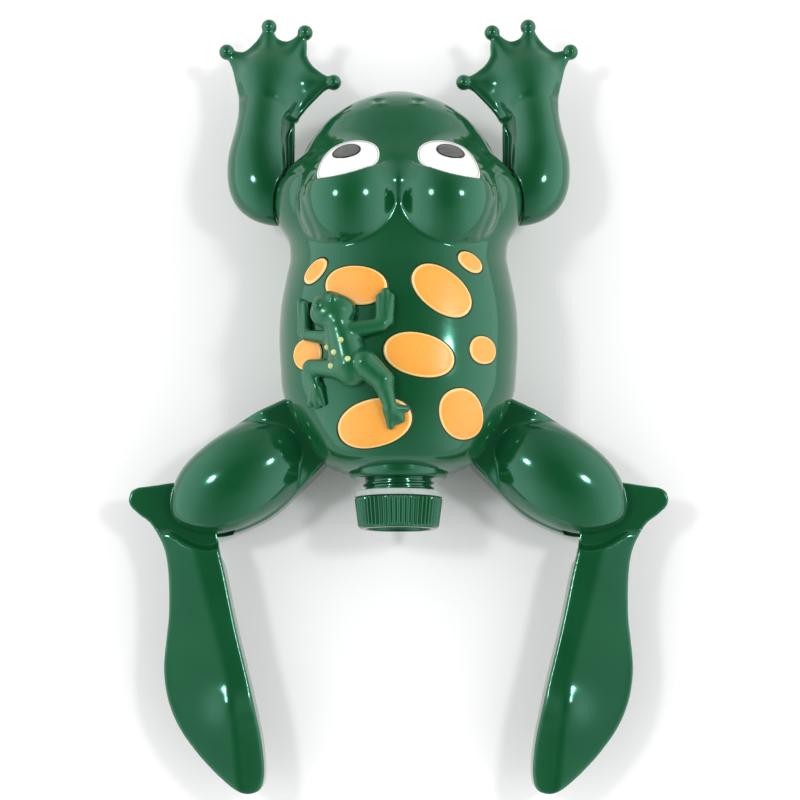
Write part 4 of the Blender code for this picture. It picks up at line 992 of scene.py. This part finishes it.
def add_eyes():
    outline = smooth_outline(EYE_OUTLINE, 8)
    across = np.array((1.0, 0.0, 0.0))

    def socket(p):
        """The skin that the white lies on: the head without its lids."""
        return smooth_min(barrel(p), mounds(p), 2.6 + 9.0 * ramp(p[:, 1], 98, 114))

    white_rings = [(0.3, 0.55), (0.6, 0.5), (0.85, 0.35), (0.925, 0.2), (0.945, 0.05), (0.965, 0.42)]
    white_rings += [(0.985, 0.48), (1.0, 0.3), (1.01, 0.0)]
    points, faces, ring = patch(socket, EYE_CENTRE, across, EYE_UP, outline, white_rings, 1.0)
    white_slots = [1 if k == 4 else 0 for k in ring]
    pupil_rings = [(0.4, 0.72), (0.7, 0.72), (0.86, 0.72), (0.93, 0.80), (1.0, 0.62), (1.01, 0.3)]
    middle = EYE_CENTRE + PUPIL_MIDDLE[0] * across + PUPIL_MIDDLE[1] * EYE_UP
    pupil = oval(PUPIL_HALF, PUPIL_TILT, 64)
    dark = patch(socket, middle, across, EYE_UP, pupil, pupil_rings, -0.2)
    # the inner rings take the grey of the painted sheen, the rim the black
    dark_slots = [0 if k < 2 else 1 for k in dark[2]]
    for side, word in SIDES:
        white = make(f"eyeball_{word}", *flipped(points, faces, side), [EYE_WHITE, EYE_LINE], white_slots)
        attach(white, "hull", "eye_white", f"eye_{word}")
        black = make(f"iris_{word}", *flipped(dark[0], dark[1], side), [PUPIL_WITH_PAINTED_SHEEN, PUPIL_RIM], dark_slots)
        attach(black, "hull", "pupil_black", f"pupil_{word}")
        for made in (white, black):
            fix_normals(made)


def add_arms():
    points, faces = skin(arm, (26, 84, 12), (93, 196, 48), CELL)
    for side, word in SIDES:
        made = make(f"webbed_arm_{word}", *flipped(points, faces.tolist(), side), [GREEN])
        attach(made, "hull", "green_plastic", f"arm_{word}")


def add_baby():
    points, faces = skin(baby, (-53, -22, 60), (6, 52, 96), BABY_CELL)
    made = make("small_frog", points, faces, [SOFT_GREEN])
    attach(made, "hull", "green_plastic", "baby_frog")
    for number, (x, y) in enumerate(BEADS, 1):
        height = drop(baby, x, y, back_height(x, y) + 1.0, 96.0)
        profile = [(BEAD_RADIUS * -0.4, 0)]
        for k in range(7):
            angle = math.radians(-20 + 110 * k / 7)
            profile.append((BEAD_RADIUS * math.sin(angle), BEAD_RADIUS * math.cos(angle)))
        profile.append((BEAD_RADIUS, 0))
        bead = turned(f"bead_{number}", [BEAD], profile, 20, (x, y, height - BEAD_SUNK), (0, 0, 1))
        attach(bead, "hull", None)


# ======== legs
def add_legs():
    thigh_points, thigh_faces = skin(thigh, (20, -72, 7), (118, 12, 48), CELL)
    paddle_points, paddle_faces = skin(paddle, (58, -192, 11), (134, -35, 37), CELL)
    for side, word in SIDES:
        spots = {"knee": KNEE[:2], "hip": HIP[:2], "screw": THIGH_SCREW}
        spots = {place: (x * side, y) for place, (x, y) in spots.items()}
        for half, top in (("upper", True), ("lower", False)):
            made = make(f"leg_{half}_{word}", *flipped(thigh_points, thigh_faces.tolist(), side), [GREEN])
            trim(made, SPLIT_HIGH if top else SPLIT_LOW, top, True)
            holes = [cylinder("slot", SLOT_RADIUS, SLOT_LOW, SLOT_HIGH, spots["knee"], 96)]
            for place, *hole in UPPER_HOLES if top else LOWER_HOLES:
                holes.append(cylinder("hole", *hole, spots[place]))
            for hole in holes:
                combine(made, [hole], "DIFFERENCE")
            sharpen(made, 45)
            attach(made, f"thigh_{word}", "green_plastic", f"thigh_{half}_{word}")
        made = make(f"swim_blade_{word}", *flipped(paddle_points, paddle_faces.tolist(), side), [GREEN])
        combine(made, [cylinder("paddle_bore", PIN_BORE, 10.0, 40.0, spots["knee"])], "DIFFERENCE")
        sharpen(made, 45)
        attach(made, f"paddle_{word}", "green_plastic", f"paddle_{word}")


# ======== battery neck and cap
def arc(centre, radius, start, end, steps):
    """Points of an arc in the profile's plane, from one angle to another in degrees."""
    found = []
    for k in range(steps + 1):
        angle = math.radians(start + (end - start) * k / steps)
        found.append((centre[0] + radius * math.cos(angle), centre[1] + radius * math.sin(angle)))
    return found


def add_battery_neck():
    neck_end, front = TUBE_LOW[1], TUBE_HIGH[1]
    thread_back, thread_front = neck_end + 1.0, COLLAR_BACK - 0.2

    def ridge(place, radius, angles):
        if radius < NECK_RADIUS - 0.01 or not thread_back < place < thread_front:
            return np.zeros(len(angles))
        share = (place - thread_back) / THREAD_PITCH - angles / math.tau
        away = np.abs(share - np.round(share)) * THREAD_PITCH
        fade = min(1.0, (place - thread_back) / 1.2, (thread_front - place) / 1.2)
        return (THREAD_RADIUS - NECK_RADIUS) * fade * (1 - ramp(away, 0.30, 0.85))

    profile = [(front - 2.0, 0), (front - 2.0, BORE_RADIUS), (neck_end + 0.5, BORE_RADIUS)]
    profile += [(neck_end, BORE_RADIUS + 0.5), (neck_end, NECK_RADIUS - 0.5)]
    steps = 84
    start, stop = neck_end + 0.5, COLLAR_BACK
    profile += [(start + (stop - start) * k / steps, NECK_RADIUS) for k in range(steps + 1)]
    profile += [(COLLAR_BACK, COLLAR_RADIUS - 3.0)]
    profile += arc((COLLAR_BACK + 3.0, COLLAR_RADIUS - 3.0), 3.0, 165, 90, 7)
    profile += [(COLLAR_FRONT, COLLAR_RADIUS), (COLLAR_FRONT, TUBE_RADIUS), (front, TUBE_RADIUS)]
    profile += [(front, 0)]
    made = turned("battery_neck", [GREEN], profile, 96, (0, 0, PARTING), (0, 1, 0), ridge)
    sharpen(made, 40)
    attach(made, "hull", "green_plastic", "battery_tube")


def add_cap():
    end, front = CAP_LOW[1], CAP_HIGH[1]
    end_radius, front_radius = 19.0, 20.6

    def ribs(place, radius, angles):
        if not end + 0.9 < place < front - 0.2 or radius < CAP_BORE + 0.8:
            return np.zeros(len(angles))
        wave = 0.5 - 0.5 * np.cos(angles * CAP_RIBS)
        fade = min(1.0, (place - end - 0.9) / 0.8)
        return (RIB_HEIGHT * wave**0.6 - RIB_HEIGHT / 2) * fade

    floor, dish = end + CAP_FLOOR, end + DISH_DEPTH
    profile = [(dish, 0), (dish, DISH_RADIUS - 1.0)]
    profile += arc((dish - 1.0, DISH_RADIUS - 1.0), 1.0, 0, 90, 3)[1:]
    profile += [(end + 0.6, DISH_RADIUS)]
    profile += arc((end + 0.6, DISH_RADIUS + 0.6), 0.6, 270, 180, 3)
    profile += [(end, end_radius - 1.6)]
    profile += arc((end + 1.4, end_radius - 1.5), 1.4, 180, 100, 6)
    steps = 10
    for k in range(steps + 1):
        share = k / steps
        place = end + 1.8 + (front - 0.5 - end - 1.8) * share
        profile.append((place, end_radius + (front_radius - end_radius) * share))
    profile += [(front - 0.15, front_radius - 0.3), (front, front_radius - 0.7), (front, CAP_BORE)]
    profile += [(floor, CAP_BORE), (floor, 0)]
    made = turned("ribbed_cap", [GREEN], profile, CAP_RIBS * 8, (0, 0, PARTING), (0, 1, 0), ribs)
    sharpen(made, 40)
    attach(made, "cap", "green_plastic", "cap")

    back, front = GASKET_LOW[1], GASKET_HIGH[1]
    outer, inner, turn = 21.2, 17.6, 0.7
    profile = [(back, inner), (back, outer - 0.3)] + arc((back + 0.3, outer - 0.3), 0.3, 180, 90, 3)
    profile += arc((front - turn, outer - turn), turn, 90, 0, 5) + [(front, inner)]
    made = turned("sealing_ring", [RUBBER], profile, 96, (0, 0, PARTING), (0, 1, 0), closed=True)
    sharpen(made, 40)
    attach(made, "cap_seat", "gasket_rubber", "cap_gasket")


# ======== floor, light and camera
CAMERA_REACH, CAMERA_TILT, TARGET_Z = 0.8, 8.5, 0.030
PICTURE_WIDTH = 0.388  # width of the view at the target
SYMMETRY_SHIFT = 0.0007  # how far right of the frog's middle the camera looks
FLOOR_REACH, FLOOR_DROP = 3.0, 0.0003
WORLD_STRENGTH = 2.08
# grey of the surroundings: by height, then what the walls add by how far to the side they are
WORLD_BY_HEIGHT = [(0.0, 0.30), (0.45, 0.28), (0.80, 0.18), (0.97, 0.045)]
WORLD_BY_SIDE = [(0.12, 0.0), (0.40, 0.16), (0.65, 0.50), (1.0, 0.80)]
LAMP_SIDE, LAMP_FRONT, LAMP_HEIGHT, LAMP_SIZE, LAMP_POWER = 0.68, 0.16, 1.15, 0.19, 3.4


def add_stage():
    """A white floor just under the frog."""
    mesh = bpy.data.meshes.new("studio_floor")
    corners = [(x * FLOOR_REACH, y * FLOOR_REACH, 0) for x, y in ((-1, -1), (1, -1), (1, 1), (-1, 1))]
    mesh.from_pydata(corners, [], [(0, 1, 2, 3)])
    floor = bpy.data.objects.new("studio_floor", mesh)
    floor.location.z = -FLOOR_DROP
    bpy.context.scene.collection.objects.link(floor)
    paint = surface("studio_floor_paint", (0.94,) * 3, (0.95,) * 3, (0.7, 0.8), size=3, depth=0.0)
    mesh.materials.append(paint)


def add_world():
    """A soft studio: dim straight above, dull in front and behind, with a bright wall on each side."""
    world = bpy.data.worlds.new("studio")
    bpy.context.scene.world = world
    world.use_nodes = True
    nodes, links = world.node_tree.nodes, world.node_tree.links
    background = nodes["Background"]
    place = nodes.new("ShaderNodeTexCoord")
    split = nodes.new("ShaderNodeSeparateXYZ")
    links.new(place.outputs["Generated"], split.inputs["Vector"])
    aside = nodes.new("ShaderNodeMath")
    aside.operation = "ABSOLUTE"
    links.new(split.outputs["X"], aside.inputs[0])
    sides = nodes.new("ShaderNodeMix")
    sides.data_type = "RGBA"
    sides.blend_type = "ADD"
    sides.inputs["Factor"].default_value = 1.0
    ramp_node(nodes, links, split.outputs["Z"], WORLD_BY_HEIGHT, sides.inputs[6])
    ramp_node(nodes, links, aside.outputs["Value"], WORLD_BY_SIDE, sides.inputs[7])
    links.new(sides.outputs[2], background.inputs["Color"])
    background.inputs["Strength"].default_value = WORLD_STRENGTH


def add_lamp(name, place, size, power, target):
    data = bpy.data.lights.new(name, "AREA")
    data.shape = "DISK"
    data.size = size
    data.energy = power
    lamp = bpy.data.objects.new(name, data)
    lamp.location = place
    lamp.rotation_euler = (Vector(target) - Vector(place)).to_track_quat("-Z", "Y").to_euler()
    bpy.context.scene.collection.objects.link(lamp)


def add_camera():
    tilt = math.radians(CAMERA_TILT)
    target = Vector((SYMMETRY_SHIFT, 0.0, TARGET_Z))
    place = target + Vector((0.0, -math.sin(tilt), math.cos(tilt))) * CAMERA_REACH
    data = bpy.data.cameras.new("camera")
    data.lens = data.sensor_width * CAMERA_REACH / PICTURE_WIDTH
    data.clip_end = 20.0
    camera = bpy.data.objects.new("camera", data)
    camera.location = place
    camera.rotation_euler = (tilt, 0.0, 0.0)
    bpy.context.scene.collection.objects.link(camera)
    bpy.context.scene.camera = camera
    bpy.context.scene.view_settings.view_transform = "Standard"


add_camera()
add_stage()
add_world()
for lamp_side, lamp_word in SIDES:
    lamp_place = (LAMP_SIDE * lamp_side, LAMP_FRONT, LAMP_HEIGHT)
    add_lamp(f"lamp_{lamp_word}", lamp_place, LAMP_SIZE, LAMP_POWER, (0.0, 0.0, 0.0))
finish_cad_nodes()
add_hull()
add_spots()
add_eyes()
add_arms()
add_baby()
add_legs()
add_battery_neck()
add_cap()
